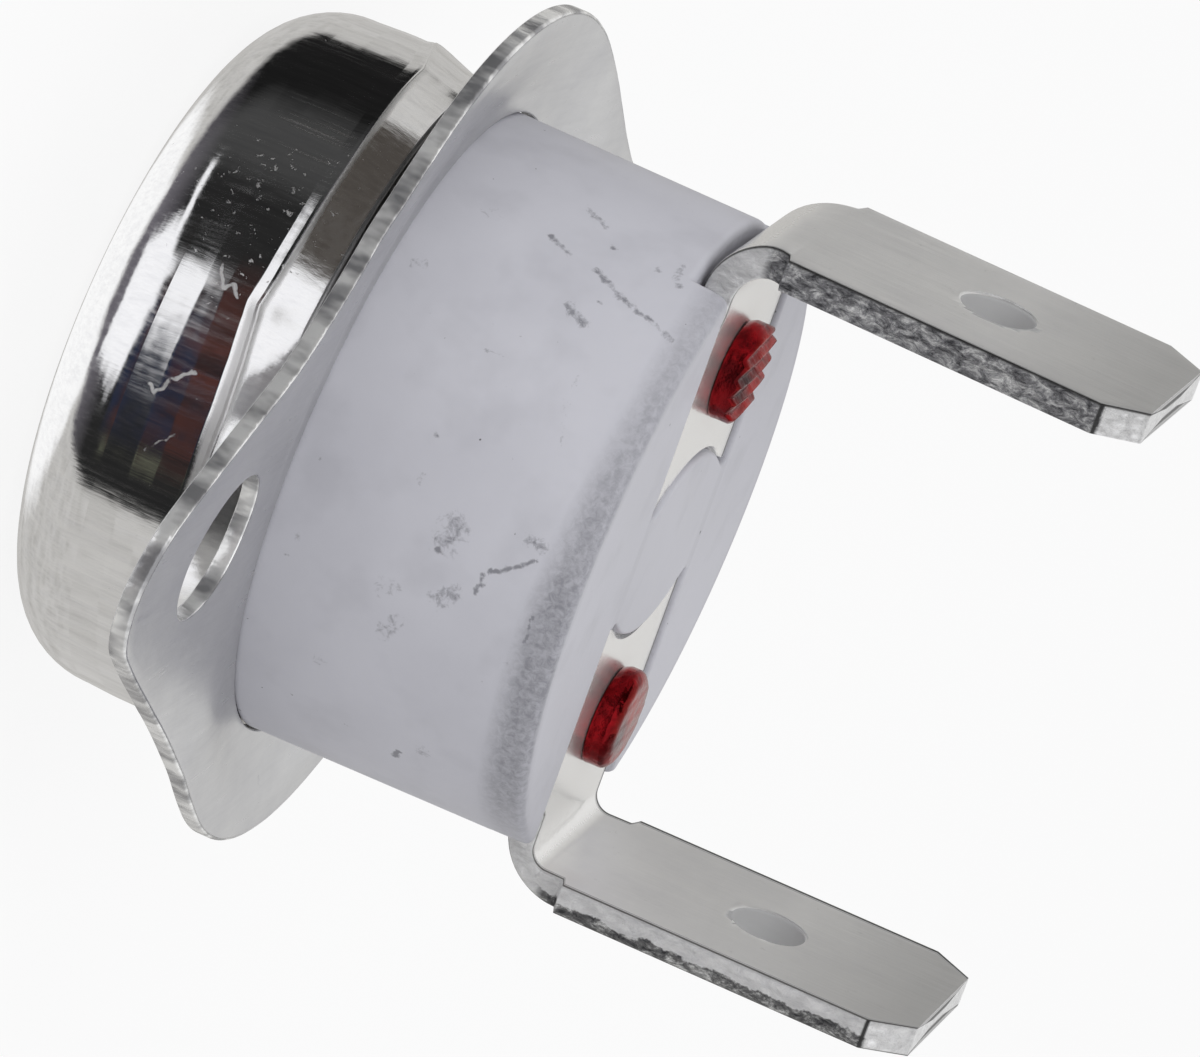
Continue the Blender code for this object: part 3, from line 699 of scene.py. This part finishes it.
def bore(piece, centre, axis, radius, reach, edge=0.06, steps=48, worn=0.0):
    """Cuts a round hole through a flat plate. The tool is a turned line that keeps the radius inside the
    plate and opens by the edge rounding at both faces, reach mm from the centre, and its axis lies along x
    or z. The hole's wall gets the share of worn metal, and its rounded edges get none."""
    q = np.linspace(0, np.pi / 2, 5)
    face = np.stack([radius + edge * (1 - np.cos(q)), reach - edge + edge * np.sin(q)], -1)
    line = np.concatenate([[(0, reach + 1)], [(radius + edge, reach + 1)], face[::-1]])
    line = np.concatenate([line, line[::-1] * (1, -1)])
    grid = turned(line, steps) @ np.array(Matrix.Rotation(0.03, 3, "Z")).T
    across = [0, 1]
    if axis == "x":
        grid = np.stack([grid[..., 2], grid[..., 0], grid[..., 1]], -1)
        across = [1, 2]
    tool = piece_of(piece.name + "_tool", [grid + np.asarray(centre, float)], piece.data.materials[0])
    step = piece.modifiers.new("bore", "BOOLEAN")
    step.operation = "DIFFERENCE"
    step.solver = "EXACT"
    step.object = tool
    bpy.context.view_layer.update()
    result = bpy.data.meshes.new_from_object(piece.evaluated_get(bpy.context.evaluated_depsgraph_get()))
    piece.modifiers.clear()
    piece.data = result
    result.shade_smooth()
    result.set_sharp_from_angle(angle=math.radians(35))
    bpy.data.objects.remove(tool)
    places = np.zeros(len(result.vertices) * 3, np.float32)
    result.vertices.foreach_get("co", places)
    off = np.linalg.norm((places.reshape(-1, 3) / MM - centre)[:, across], axis=1)
    for label, share in (("worn", worn), ("through", 0.0)):
        if label in result.attributes:
            layer = result.attributes[label].data
            values = np.zeros(len(layer), np.float32)
            layer.foreach_get("value", values)
            values[off < radius + edge + 0.004] = 0
            values[off < radius + 0.5 * edge] = share
            layer.foreach_set("value", values)


bronze = grained_finish("spring_bronze", (0.75, 0.55, 0.32), 1.0, 0.3, (0.12, 4.0, 0.7),
                        ((0.68, 0.48, 0.28), (0.80, 0.60, 0.36)), (0.24, 0.38), along=0.06)
leaf = piece_of("contact_leaf", [leaf_grid()], bronze)
bore(leaf, (RIVET_X, 0, ROOF_Z - LEAF_T), "z", RIVET_HOLE_R, LEAF_T / 2, 0.03)
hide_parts("contact_arm")
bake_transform(leaf)

# Contacts and fixed plate
# Two silver buttons are riveted into the leaf and into a brass plate, which is folded to a C and held under
# the roof by the other rivet. They stay as the model has them.
silver = grained_finish("contact_silver", (0.85, 0.85, 0.84), 1.0, 0.3, (0.25, 4.0),
                        ((0.78, 0.78, 0.76), (0.90, 0.90, 0.88)), (0.22, 0.42), depth=0.006)
dress("moving_contact", silver)
dress("fixed_contact", silver)
brass = grained_finish("plate_brass", (0.78, 0.66, 0.38), 1.0, 0.3, (0.14, 4.0, 0.7),
                       ((0.72, 0.60, 0.33), (0.82, 0.70, 0.42)), (0.24, 0.38), along=0.06)
dress("fixed_contact_plate", brass)

# Mounting flange
# A ring with two ears, stamped from aluminium sheet, with a screw hole in each ear. It is slipped over the
# barrel before the rivets go in and turns freely. Its rim is bright from shearing, and one ear is bent up.
FLANGE_Z = 6.5
FLANGE_T = 0.45
FLANGE_BORE = 8.48
RING_R = 11.4
EAR_Y = 16.0
EAR_R = 2.4
EAR_HOLE_Y = 13.2
EAR_HOLE_R = 1.92
WAIST = 0.25


def flange_outline():
    """Plan of the flange: ring arc, side that curves in by a sine squared, ear arc, and the same mirrored."""
    lean = math.acos((RING_R - EAR_R) / EAR_Y)
    ring = np.linspace(-np.pi / 2 + lean, np.pi / 2 - lean, 80)[:, None]
    ring = RING_R * np.concatenate([np.cos(ring), np.sin(ring)], 1)
    cap_turn = np.linspace(np.pi / 2 - lean, np.pi / 2 + lean, 40)[:, None]
    ear = EAR_R * np.concatenate([np.cos(cap_turn), np.sin(cap_turn)], 1) + (0, EAR_Y)
    t = np.linspace(0, 1, 24)[1:-1, None]
    inward = -np.array([math.sin(lean), math.cos(lean)])
    side = ring[-1] + (ear[0] - ring[-1]) * t + inward * WAIST * np.sin(np.pi * t) ** 2
    upper = np.concatenate([ring, side, ear, side[::-1] * (-1, 1)])
    loop = np.concatenate([upper, -upper])
    return np.concatenate([loop, loop[:1]])


def flange_grid():
    """The section between the centre hole and the outline, carried once round. Each corner is drawn in by a
    small rounding, wider on top, where the punch pulled the sheet down."""
    rim = flange_outline()
    along = np.gradient(rim, axis=0)
    along[0] = along[-1] = rim[1] - rim[-2]
    along /= np.linalg.norm(along, axis=1)[:, None]
    out = np.stack([along[:, 1], -along[:, 0]], -1)
    hole = FLANGE_BORE * rim / np.linalg.norm(rim, axis=1)[:, None]
    ray = hole / FLANGE_BORE
    q = np.linspace(0, np.pi / 2, 5)
    low, high = 0.04, 0.10
    top = FLANGE_Z + FLANGE_T
    rows = []
    for part in np.linspace(0, 1, 24):
        a, b = hole + ray * low, rim - out * low
        rows.append((a + (b - a) * part, FLANGE_Z))
    rows += [(rim - out * low * (1 - math.sin(v)), FLANGE_Z + low * (1 - math.cos(v))) for v in q[1:]]
    rows += [(rim - out * high * (1 - math.cos(v)), top - high * (1 - math.sin(v))) for v in q]
    for part in np.linspace(1, 0, 24)[1:]:
        a, b = hole + ray * low, rim - out * high
        rows.append((a + (b - a) * part, top))
    rows += [(hole + ray * low * (1 - math.sin(v)), top - low * (1 - math.cos(v))) for v in q[1:]]
    rows += [(hole + ray * low * (1 - math.cos(v)), FLANGE_Z + low * (1 - math.sin(v))) for v in q]
    grid = np.stack([np.concatenate([plan, np.full((len(plan), 1), z)], 1) for plan, z in rows])
    wall = np.zeros(len(rows))
    wall[26:32] = 1
    wall[-6:] = 1
    return grid, wall[:, None] + np.zeros(grid.shape[:2])


def eased(value):
    """Smooth step from 0 to 1: 3 t squared - 2 t cubed."""
    t = np.clip(value, 0, 1)
    return t * t * (3 - 2 * t)


def bend_flange(piece):
    """Bends the flat sheet as it sits in its picture: it is pressed down round the barrel, raised at the -x
    edge and at the far ear, which is bent up by 0.5 mm times the share of the way out to the power 1.6, and
    the near ear is twisted a little."""
    co = np.zeros(len(piece.data.vertices) * 3, np.float32)
    piece.data.vertices.foreach_get("co", co)
    co = co.reshape(-1, 3)
    x, y = co[:, 0] / MM, co[:, 1] / MM
    r = np.hypot(x, y)
    rise = 0.008 * y + 0.5 * np.clip((y - 8.0) / 10.4, 0, 1) ** 1.6
    rise -= (0.22 + 0.010 * x) * eased((10.6 - r) / 2)
    rise += 0.30 * np.clip(-x / 8, 0, 1) * np.clip((r - 9) / 2, 0, 1)
    rise += 0.22 * eased((y - 3) / 8) * np.clip((r - 8.6) / 1.5, 0, 1)
    rise -= 0.05 * x * np.clip((-y - 9) / 4, 0, 1)
    co[:, 2] += rise * MM
    piece.data.vertices.foreach_set("co", co.reshape(-1))
    piece.data.update()


def flange_finish():
    """Satin sheet with faint rolling grain, small scratches and smudges, and bright sheared edges that
    catch the light in patches."""
    finish, shader = new_finish("flange_aluminium", (0.60, 0.60, 0.60), 0.92, 0.35)
    where = place(finish)
    worn = mark(finish, "worn")
    grain = noise(place(finish, (1, 0.08, 1)), 0.25, 4.0, 0.7)
    face = ramp(noise(where, 2.2, 5.0, 0.6), (0.3, (0.56, 0.56, 0.57)), (0.7, 0.64))
    dull = ramp(noise(where, 0.5, 6.0, 0.8, 0.5), (0.0, 0.0), (0.62, 0.0), (0.72, 0.35), (1.0, 0.35))
    face = blended(dull, face, 0.32)
    drag = noise(place(finish, (1, 1, 0.5)), 1.0, 3.0, 0.6)
    rim = ramp(drag, (0.38, (0.32, 0.32, 0.33)), (0.5, 0.66), (0.60, (0.97, 0.97, 0.96)))
    drive(shader, "Base Color", blended(worn, face, rim))
    drive(shader, "Roughness", blended(worn, ramp(grain, (0.3, 0.26), (0.7, 0.40)), 0.26))
    drive(shader, "Metallic", 0.92 - worn * 0.3)
    relief(shader, grain + noise(where, 0.6, 3.0) + drag * (worn * 20.0), 0.006)
    return finish


grid, marks = flange_grid()
flange = piece_of("loose_flange", [grid], flange_finish(), marks={"worn": [marks]})
for side in (-1, 1):
    middle = (0, side * EAR_HOLE_Y, FLANGE_Z + FLANGE_T / 2)
    bore(flange, middle, "z", EAR_HOLE_R, FLANGE_T / 2, steps=72, worn=1.0)
bend_flange(flange)
flange.modifiers.new("even normals", "WEIGHTED_NORMAL").keep_sharp = True
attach(flange, "flange")
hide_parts("mounting_flange")

# Terminals
# Two strips of tinned brass, stamped, laid in the pockets and bent up at the rim into push-on tabs with a
# locking hole. The faces are satin. The sheared edges are smooth where the punch cut and torn where it broke
# through.
TAB_T = 0.8
STRIP_Z = 13.55
TAB_X = 9.1
BEND_R = 1.8
STRIP_HALF = 3.1
NECK_HALF = 2.75
TAB_HALF = 3.15
TIP_HALF = 2.30
NECK_TOP = 15.42
SHOULDER_Z = 15.55
CHAMFER_Z = 23.95
TAB_TOP = 25.05
EYE_Z = 20.2
EYE_R = 0.95
LEAN_FROM = STRIP_Z + 1.2
BORED = 0.15
LEANS = {-1: (2.04, 0.77, 1.86), 1: (1.32, -0.86, 0.32)}
CREASES = {-1: 1.0, 1: 0.5}
TERMINALS = ((-1, "left", 1.6, (0.30, 0.30, 0.31)), (1, "right", -0.1, (0.22, 0.22, 0.22)))


def folded_line(depth, radius):
    """Line of the folded strip at a depth above its lower and outer face, as (x, z): strip, bend and tab."""
    start = float(barrier_side(np.array(STRIP_HALF))) + GAP
    turn = (TAB_X - depth, STRIP_Z + depth)
    line = rounded([(start, turn[1]), turn, (turn[0], TAB_TOP)], (0, radius, 0), 16)
    strip = np.linspace(line[0], line[17], 30)[:-1]
    arc = line[17:34]
    levels = spread((arc[-1][1], NECK_TOP, 4), (NECK_TOP, SHOULDER_Z, 3), (SHOULDER_Z, CHAMFER_Z, 24),
                    (CHAMFER_Z, TAB_TOP, 8))
    blade = np.stack([np.full(len(levels), turn[0]), levels], -1)
    return np.concatenate([strip, arc, blade[1:]])


def terminal_section():
    """Closed line round the strip's section as (sideways, through from -1 outside to 1 inside). The punch has
    pulled the outer corners down, so they are rounder than the inner ones."""
    corners = [(-TAB_HALF, -TAB_T / 2), (TAB_HALF, -TAB_T / 2), (TAB_HALF, TAB_T / 2), (-TAB_HALF, TAB_T / 2)]
    arcs = rounded(corners, (0.17, 0.17, 0.06, 0.06), 5).reshape(4, -1, 2)
    runs = []
    for k, count in enumerate((30, 6, 30, 6)):
        t = np.linspace(0, 1, count)[1:-1, None]
        start, end = arcs[k][-1], arcs[(k + 1) % 4][0]
        runs += [arcs[k], start + (end - start) * t]
    line = np.concatenate(runs)
    line[:, 1] /= TAB_T / 2
    return np.concatenate([line, line[:1]])


def terminal_grid(side, lean):
    """The section laid between the strip's outer and inner lines: point = outer + (inner - outer) *
    (through + 1) / 2. Its half width follows neck, shoulder and tip; the strip's inner end is drawn to the
    barrier's arc; the tab leans by small angles that grow out of the bend."""
    outer = folded_line(0.0, BEND_R)
    inner = folded_line(TAB_T, CREASES[side])
    unit = terminal_section()
    pad = lambda v: np.concatenate([v[:1], v, v[-1:]])
    sizes = np.concatenate([[0.0], np.ones(len(outer)), [0.0]])[:, None]
    outer, inner = pad(outer), pad(inner)
    middle = 0.5 * (outer + inner)
    x0, z0 = middle[:, 0], middle[:, 1]
    strip_half = np.interp(x0, [6.63, 6.75], [STRIP_HALF, NECK_HALF])
    blade_half = np.interp(z0, [NECK_TOP + 0.01, SHOULDER_Z, CHAMFER_Z, TAB_TOP],
                           [NECK_HALF, TAB_HALF, TAB_HALF, TIP_HALF])
    half = np.where(z0 > STRIP_Z + 1.0, blade_half, strip_half)[:, None]
    y = unit[None, :, 0] / TAB_HALF * half * sizes
    through = unit[None, :, 1] * sizes
    x = middle[:, :1] + 0.5 * (inner - outer)[:, :1] * through
    z = middle[:, 1:] + 0.5 * (inner - outer)[:, 1:] * through
    end = barrier_side(y) + GAP
    fade = np.clip((RIVET_X + 1.5 - x0[:, None]) / (RIVET_X + 1.5 - x0[0]), 0, 1)
    x = x + (end - x0[0]) * fade * (z0 < STRIP_Z + 1)[:, None]
    share = np.clip((z - STRIP_Z - 0.9) / 1.0, 0, 1) ** 2
    rise = np.clip(z - LEAN_FROM, 0, None)
    about_x, about_y, about_z = (math.radians(v) for v in lean)
    x = x + side * about_y * rise - side * about_z * y * share
    z = z + about_x * y * share
    y = y - about_x * rise
    edge = np.clip((np.abs(unit[:, 0]) - TAB_HALF + 0.17) / 0.17, 0, 1)[None, :]
    edge = np.maximum(edge + 0 * x, (sizes < 0.5) * 1.0)
    return np.stack([side * x, y, z], -1), {"worn": [edge], "through": [through + 0 * x]}


def groove(value, middle, half):
    """Share that is 1 where a value meets its middle and 0 at half away from it."""
    return grown(calc("ABSOLUTE", value - middle), half, 0.4 * half)


def tin_finish(name, cut_from, torn_tone):
    """Matt tin plate with rolling lines and small scratches, duller towards the tip and glossier on the
    pressed strip. Along the tab's edges the cut is smooth above cut_from and torn below it, with a dark
    line between edge and face. The bend's and the tip's edges are smooth, and the hole's wall is dull and
    painted darker as the shade inside the hole."""
    finish, shader = new_finish(name, (0.83, 0.83, 0.82), 0.78, 0.34)
    where = place(finish)
    edge = mark(finish, "worn")
    level = part_of(where, "Z") * (1.0 / MM)
    grain = noise(place(finish, (1, 1, 0.08)), 0.2, 4.0, 0.7)
    torn = noise(place(finish, (1.0, 1.0, 0.5)), 0.22, 6.0, 0.8, 0.5)
    face = ramp(noise(where, 2.2, 5.0, 0.6), (0.3, 0.87), (0.7, (0.95, 0.95, 0.94)))
    nick = ramp(noise(where, 0.4, 5.0, 0.75), (0.0, 0.0), (0.64, 0.0), (0.74, 0.4), (1.0, 0.4))
    face = blended(nick, face, (0.50, 0.50, 0.49))
    used = grown(level, 20.5, 24.5, 0.6)
    face = blended(used, face, (0.50, 0.50, 0.49))
    low = grown(level, 14.9, 14.3)
    face = blended(low, face, (0.93, 0.92, 0.90))
    ragged = (noise(where, 0.9, 4.0, 0.7) - 0.5) * 1.6
    cut = grown(mark(finish, "through") + ragged, cut_from - 0.06, cut_from + 0.06)
    broken = ramp(torn, (0.36, (0.05, 0.05, 0.055)), (0.5, torn_tone), (0.66, (0.92, 0.92, 0.91)))
    smooth = ramp(torn, (0.3, (0.72, 0.72, 0.73)), (0.6, 0.96))
    rim = blended(cut, broken, smooth)
    plain = greater(grown(level, 15.0, 14.8), grown(level, CHAMFER_Z, CHAMFER_Z + 0.07))
    rim = blended(plain, rim, ramp(torn, (0.35, 0.74), (0.6, 0.98)))
    rim = blended(groove(level, CHAMFER_Z - 0.05, 0.07), rim, 0.06)
    shown = ramp(edge, (0.0, 0.0), (0.35, 0.0), (0.5, 1.0), (1.0, 1.0))
    line = ramp(edge, (0.0, 0.0), (0.25, 0.0), (0.42, 0.9), (0.62, 0.9), (0.8, 0.0), (1.0, 0.0))
    # Painted shade: the hole's wall is dull, and its colour is also painted darker grey as the shade inside
    # the hole.
    dull_shaded_wall = groove(edge, BORED, 0.1)
    colour = blended(line, blended(shown, face, rim), 0.07)
    drive(shader, "Base Color", blended(dull_shaded_wall, colour, 0.50))
    face_rough = blended(low, ramp(grain, (0.3, 0.30), (0.7, 0.44)), 0.2)
    rim_rough = blended(greater(cut, plain), 0.5, 0.42)
    drive(shader, "Roughness", blended(dull_shaded_wall, blended(shown, face_rough, rim_rough), 0.75))
    drive(shader, "Metallic", 0.78 - dull_shaded_wall * 0.5)
    relief(shader, grain + torn * (shown * 10.0), 0.008)
    return finish


for side, label, cut_from, torn_tone in TERMINALS:
    grid, marks = terminal_grid(side, LEANS[side])
    tin = tin_finish("tinned_strip_" + label, cut_from, torn_tone)
    tab = piece_of("tab_" + label, [grid], tin, marks=marks)
    bore(tab, (side * RIVET_X, 0, STRIP_Z + TAB_T / 2), "z", RIVET_HOLE_R, TAB_T / 2)
    about_x, about_y = (math.radians(v) for v in LEANS[side][:2])
    rise = EYE_Z - LEAN_FROM
    eye = (side * (TAB_X - TAB_T / 2 + side * about_y * rise), -about_x * rise, EYE_Z)
    bore(tab, eye, "x", EYE_R, TAB_T / 2, 0.1, worn=BORED)
    tab.modifiers.new("even normals", "WEIGHTED_NORMAL").keep_sharp = True
    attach(tab, "housing")
    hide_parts("terminal_" + label)

# Rivets
# Soft rivets go down through strip, housing and contact parts and are headed over below. Their heads are
# flattened and scored by the tool, and sealed with a drop of clear red lacquer.
HEAD_Z = 14.36
HEAD_R = 1.3
HEAD_TOP = 15.1
SHANK_R = 0.9
TAIL_R = 1.25
TAIL_T = 0.6


def rivet_grid(side, crown, score, pitch):
    """The turned section of head, shank and tail. The head's top carries scores along y: its height drops
    by a saw-tooth of x, deeper towards one side, and its outline is a little out of round."""
    grip = 0.3 if side < 0 else 0.2
    tail = ROOF_Z - 2 * GAP - grip
    upper = rounded([(0, HEAD_TOP), (HEAD_R, HEAD_TOP), (HEAD_R, HEAD_Z), (SHANK_R, HEAD_Z)],
                    (0, crown, 0.05, 0), 8)
    lower = rounded([(SHANK_R, tail), (TAIL_R, tail), (TAIL_R, tail - TAIL_T), (0, tail - TAIL_T)],
                    (0, 0.05, 0.2, 0), 6)
    line = np.concatenate([evenly(upper, 0.035), evenly(lower, 0.12)])
    line[:, 0] = np.where(line[:, 0] < 0.05, 0, line[:, 0])
    grid = turned(line, 144)
    x, y, z = grid[..., 0], grid[..., 1], grid[..., 2]
    a = np.arctan2(y, x)
    head = np.clip((z - HEAD_Z) / 0.2, 0, 1)
    bulge = 1 + head * (0.03 * np.cos(2 * a + 0.9) + 0.015 * np.cos(5 * a + 1.8))
    step = (x + 0.12 * y + 0.1) / pitch
    tooth = step - np.floor(step)
    tooth = np.where(tooth < 0.75, tooth / 0.75, (1 - tooth) / 0.25)
    top = np.clip((z - HEAD_TOP + 0.32) / 0.25, 0, 1)
    z = z - score * top * tooth - 0.06 * top * np.clip((x * x + y * y) / HEAD_R ** 2, 0, 1)
    return np.stack([x * bulge + side * RIVET_X - 0.08 * head, y * bulge, z], -1)


def lacquer_finish():
    """Clear red lacquer over soft metal: deep red where it pools, brighter and more orange where it is thin
    on the ridges, with a wet gloss, and a near-black spot painted on each head's camera side as the dark
    room it reflects."""
    finish, shader = new_finish("red_lacquer", (0.35, 0.012, 0.014), 0.95, 0.2)
    shader.inputs["Coat Weight"].default_value = 0.03
    shader.inputs["Coat Roughness"].default_value = 0.06
    where = place(finish)
    pool = noise(where, 0.6, 4.0, 0.6)
    thin = grown(part_of(where, "Z"), 14.9 * MM, HEAD_TOP * MM)
    deep = ramp(pool, (0.38, (0.11, 0.002, 0.004)), (0.6, (0.30, 0.006, 0.010)))
    tone = blended(thin * pool, deep, (0.38, 0.035, 0.022))
    # Painted reflection: a near-black spot on each head, toward the camera, stands in for the dark zone the
    # lacquer mirrors.
    painted_dark_reflection = greater(spot(where, (-RIVET_X, -0.75, 14.9), 0.9), spot(where, (RIVET_X + 0.2, -0.7, 14.9), 0.7))
    drive(shader, "Base Color", blended(painted_dark_reflection, tone, (0.030, 0.003, 0.004)))
    drive(shader, "Roughness", ramp(pool, (0.3, 0.12), (0.7, 0.26)))
    relief(shader, noise(where, 0.3, 3.0), 0.03)
    return finish


lacquer = lacquer_finish()
for side, label, crown, score in ((-1, "left", 0.12, 0.16), (1, "right", 0.32, 0.015)):
    rivet = piece_of("riveted_head_" + label, [rivet_grid(side, crown, score, 0.52)], lacquer, sharp=50)
    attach(rivet, "housing")
    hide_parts("rivet_" + label)

# Camera
# A long lens from the side, a little above, rolled so that the switch leans as it does in its picture.
RIGHT = np.array([-0.321066, 0.298103, 0.898917])
UP = np.array([-0.889043, 0.23223, -0.394553])
BACK = np.array([-0.326373, -0.925853, 0.190465])
view = bpy.data.cameras.new("camera")
view.lens = 247.491
view.sensor_width = 36
view.clip_start = 0.01
view.clip_end = 10
camera = bpy.data.objects.new("camera", view)
pose = np.eye(4)
pose[:3, 0], pose[:3, 1], pose[:3, 2] = RIGHT, UP, BACK
pose[:3, 3] = (-0.0669682, -0.1910083, 0.0519375)
camera.matrix_world = Matrix(pose.tolist())
bpy.context.scene.collection.objects.link(camera)
bpy.context.scene.camera = camera
bpy.context.scene.view_settings.view_transform = "Standard"

# Floor and light
# The switch stands on a white sheet under large soft lamps. Straight in front of it the room is dark, so the
# polished cap mirrors a dark band between white walls, a white ceiling and the white sheet.


def floor_finish():
    """White to the camera and to mirrors, with a share of a plain matt surface that keeps the shadow."""
    finish, shader = new_finish("white_sheet", (0.93, 0.93, 0.93), 0.0, 0.9)
    tree = finish.node_tree
    path = add(tree, "LightPath")
    seen = greater(Value(path, "Is Camera Ray"), Value(path, "Is Glossy Ray"))
    seen = greater(seen, Value(path, "Is Transmission Ray"))
    glow = add(tree, "Emission", {"Color": (1, 1, 1, 1), "Strength": 1.0})
    both = add(tree, "MixShader", {"Fac": seen * 0.86, 1: Value(shader), 2: Value(glow)})
    drive(tree.nodes["Material Output"], "Surface", Value(both))
    return finish


sheet_grid = np.stack([*np.meshgrid([-600.0, 600.0], [-600.0, 600.0]), np.full((2, 2), -0.02)], -1)
floor = piece_of("floor", [sheet_grid], floor_finish())
floor.visible_glossy = False


def over(value, edge, soft):
    """Share that grows from 0 to 1 as a value passes an edge, which is a number or another value."""
    return grown(value - edge, -soft, soft)


def within(value, low, high, soft):
    """Share that is 1 between two edges."""
    return calc("SUBTRACT", over(value, low, soft), over(value, high, soft), clamp=True)


def dark_room(turn, rise, shake, way):
    """Colours and share of the dark zone on the camera's side. Its lower edge, the hem, is at a rise of -78
    + 0.0038 (turn + 15) squared. It is brown above level and cool grey far below, with soft warm and cool
    patches."""
    swung = turn + 15.0
    hem = swung * swung * 0.0038 - 78.0
    under = within(turn, -131, 61, 1.5) * over(rise, hem + shake, 4)
    level = under * (1.0 - over(rise, -1.0, 1.0))
    top = 16.0 - over(turn, -31.0, 2.0) * 8.0
    eye_high = within(turn, -96, 61, 2.0) * within(rise, -3, top, 2.0)
    above = within(turn, -96, -32, 3.0) * within(rise, 13, 75, 2.0)
    grey = ramp(calc("DIVIDE", turn + 180.0, 360.0), (0.0, 0.02), (0.16, 0.012), (0.235, 0.010),
                (0.28, 0.062), (0.33, 0.055), (0.36, 0.02), (1.0, 0.02))
    grey = blended(over(rise, 1.0, 2.0), grey, (0.07, 0.062, 0.055))
    grey = blended(grown(rise, -34.0, -64.0, 0.9), grey, (0.16, 0.15, 0.17))
    mixed = worked("TexNoise", {"Vector": way, "Scale": 9.0, "Detail": 3.0}, "Fac")
    hazy = rise + shake * 0.5
    warm = within(turn, -20, 38, 9.0) * within(hazy, -15.5, -7.0, 2.0)
    grey = blended(warm, grey, ramp(mixed, (0.40, (0.03, 0.02, 0.02)), (0.60, (0.10, 0.035, 0.028))))
    cool = within(turn, -8, 36, 7.0) * within(hazy, -20.0, -15.5, 2.0)
    grey = blended(cool, grey, (0.022, 0.028, 0.055))
    lamp = within(turn, 41, 47, 2.0) * within(rise, -17.5, -15.5, 1.0)
    grey = blended(lamp, grey, (0.12, 0.125, 0.09))
    return grey, greater(greater(level, eye_high), above)


def white_sheets(turn, rise, shake):
    """Share of the white sheets inside the dark zone: a patch with a tilted upper edge, a thin band above
    it that is dimmed on one side, and the sheet above level on that side."""
    ragged = turn + shake
    left = grown(rise, -20.0, -30.0) * -15.0 - 20.0
    inner = over(ragged, left, 4.0) * (1.0 - over(ragged, 25.0, 3.0))
    tilted = rise + turn * 0.16 + 19.5
    inner = inner * (1.0 - over(tilted, 0.0, 1.2)) * over(rise, -61.0, 1.2)
    flare = within(turn, -58, 31, 2.0) * within(rise, -32.5, -26.5, 0.8)
    dimmed = 1.0 - over(turn, -13.0, 3.0) * 0.55
    high = within(turn, -31, 80, 3.0) * over(rise, 9.0, 2.0)
    return greater(greater(inner, flare * dimmed), high)


def room_light():
    """World: white to the camera, plain soft light for the object, and for mirrors a pale grey room over a
    white sheet, with a dark zone on the camera's side. Its edges are set by turn, the degrees round from
    the camera's direction, and rise, the degrees above level. The floor's edge, the brink, sinks to -64 and
    rises by 0.0035 times the square of the turn beyond 80."""
    room = bpy.data.worlds.new("room")
    room.use_nodes = True
    bpy.context.scene.world = room
    tree = room.node_tree
    way = Value(add(tree, "TexCoord"), "Generated")
    front = tuple(on_side(1.0, 0.0, 0.0))
    ahead = vector("DOT_PRODUCT", {0: way, 1: front}, "Value")
    aside = vector("DOT_PRODUCT", {0: way, 1: (-front[1], front[0], 0.0)}, "Value")
    shake = (worked("TexNoise", {"Vector": way, "Scale": 7.0, "Detail": 3.0}, "Fac") - 0.5) * 12.0
    turn = calc("ARCTAN2", aside, ahead) * math.degrees(1.0)
    rise = calc("ARCSINE", part_of(way, "Z")) * math.degrees(1.0)
    grey, dark = dark_room(turn, rise, shake, way)
    streak = worked("TexNoise", {"Vector": way, "Scale": 16.0, "Detail": 5.0, "Roughness": 0.7}, "Fac")
    pale = ramp(streak, (0.35, (0.44, 0.43, 0.41)), (0.6, (0.60, 0.59, 0.575)))
    pale = blended(over(rise, 13.0, 12.0), pale, 0.86)
    mirrored = blended(dark, pale, grey)
    mirrored = blended(white_sheets(turn, rise, shake), mirrored, (0.97, 0.97, 0.99))
    side = greater(calc("ABSOLUTE", turn) - 80.0, 0.0)
    brink = side * side * 0.0035 - 64.0
    low = calc("MULTIPLY", 1.0 - over(rise, brink + shake, 3.0), 1.0 - dark, clamp=True)
    mirrored = blended(low, mirrored, 1.0)
    path = add(tree, "LightPath")
    glossy = greater(Value(path, "Is Glossy Ray"), Value(path, "Is Transmission Ray"))
    across = grown(part_of(way, "X"), -1.0, 1.0)
    plain = blended(glossy, blended(across, (0.61, 0.61, 0.62), (0.45, 0.45, 0.46)), mirrored)
    ground = tree.nodes["Background"]
    drive(ground, "Color", blended(Value(path, "Is Camera Ray"), plain, 1.0))
    ground.inputs["Strength"].default_value = 1.0


room_light()


def soft_lamp(name, toward, distance, size, power):
    """Square area lamp that looks at the middle of the switch from a direction."""
    lamp = bpy.data.lights.new(name, "AREA")
    lamp.size = size
    lamp.energy = power
    way = np.asarray(toward, float) / np.linalg.norm(toward)
    side = np.cross((0, 0, 1), way)
    side /= np.linalg.norm(side)
    turn = np.eye(4)
    turn[:3, 0], turn[:3, 1], turn[:3, 2] = side, np.cross(way, side), way
    turn[:3, 3] = way * distance + np.array((0, 0, 0.012))
    holder = bpy.data.objects.new(name, lamp)
    bpy.context.scene.collection.objects.link(holder)
    holder.matrix_world = Matrix(turn.tolist())
    return holder


key = soft_lamp("key", (-0.52, -0.65, 0.55), 0.5, 0.35, 0.86)
key.visible_glossy = False
fill = soft_lamp("fill", (0.6, 0.4, 0.8), 0.5, 0.4, 0.45)
fill.visible_glossy = False
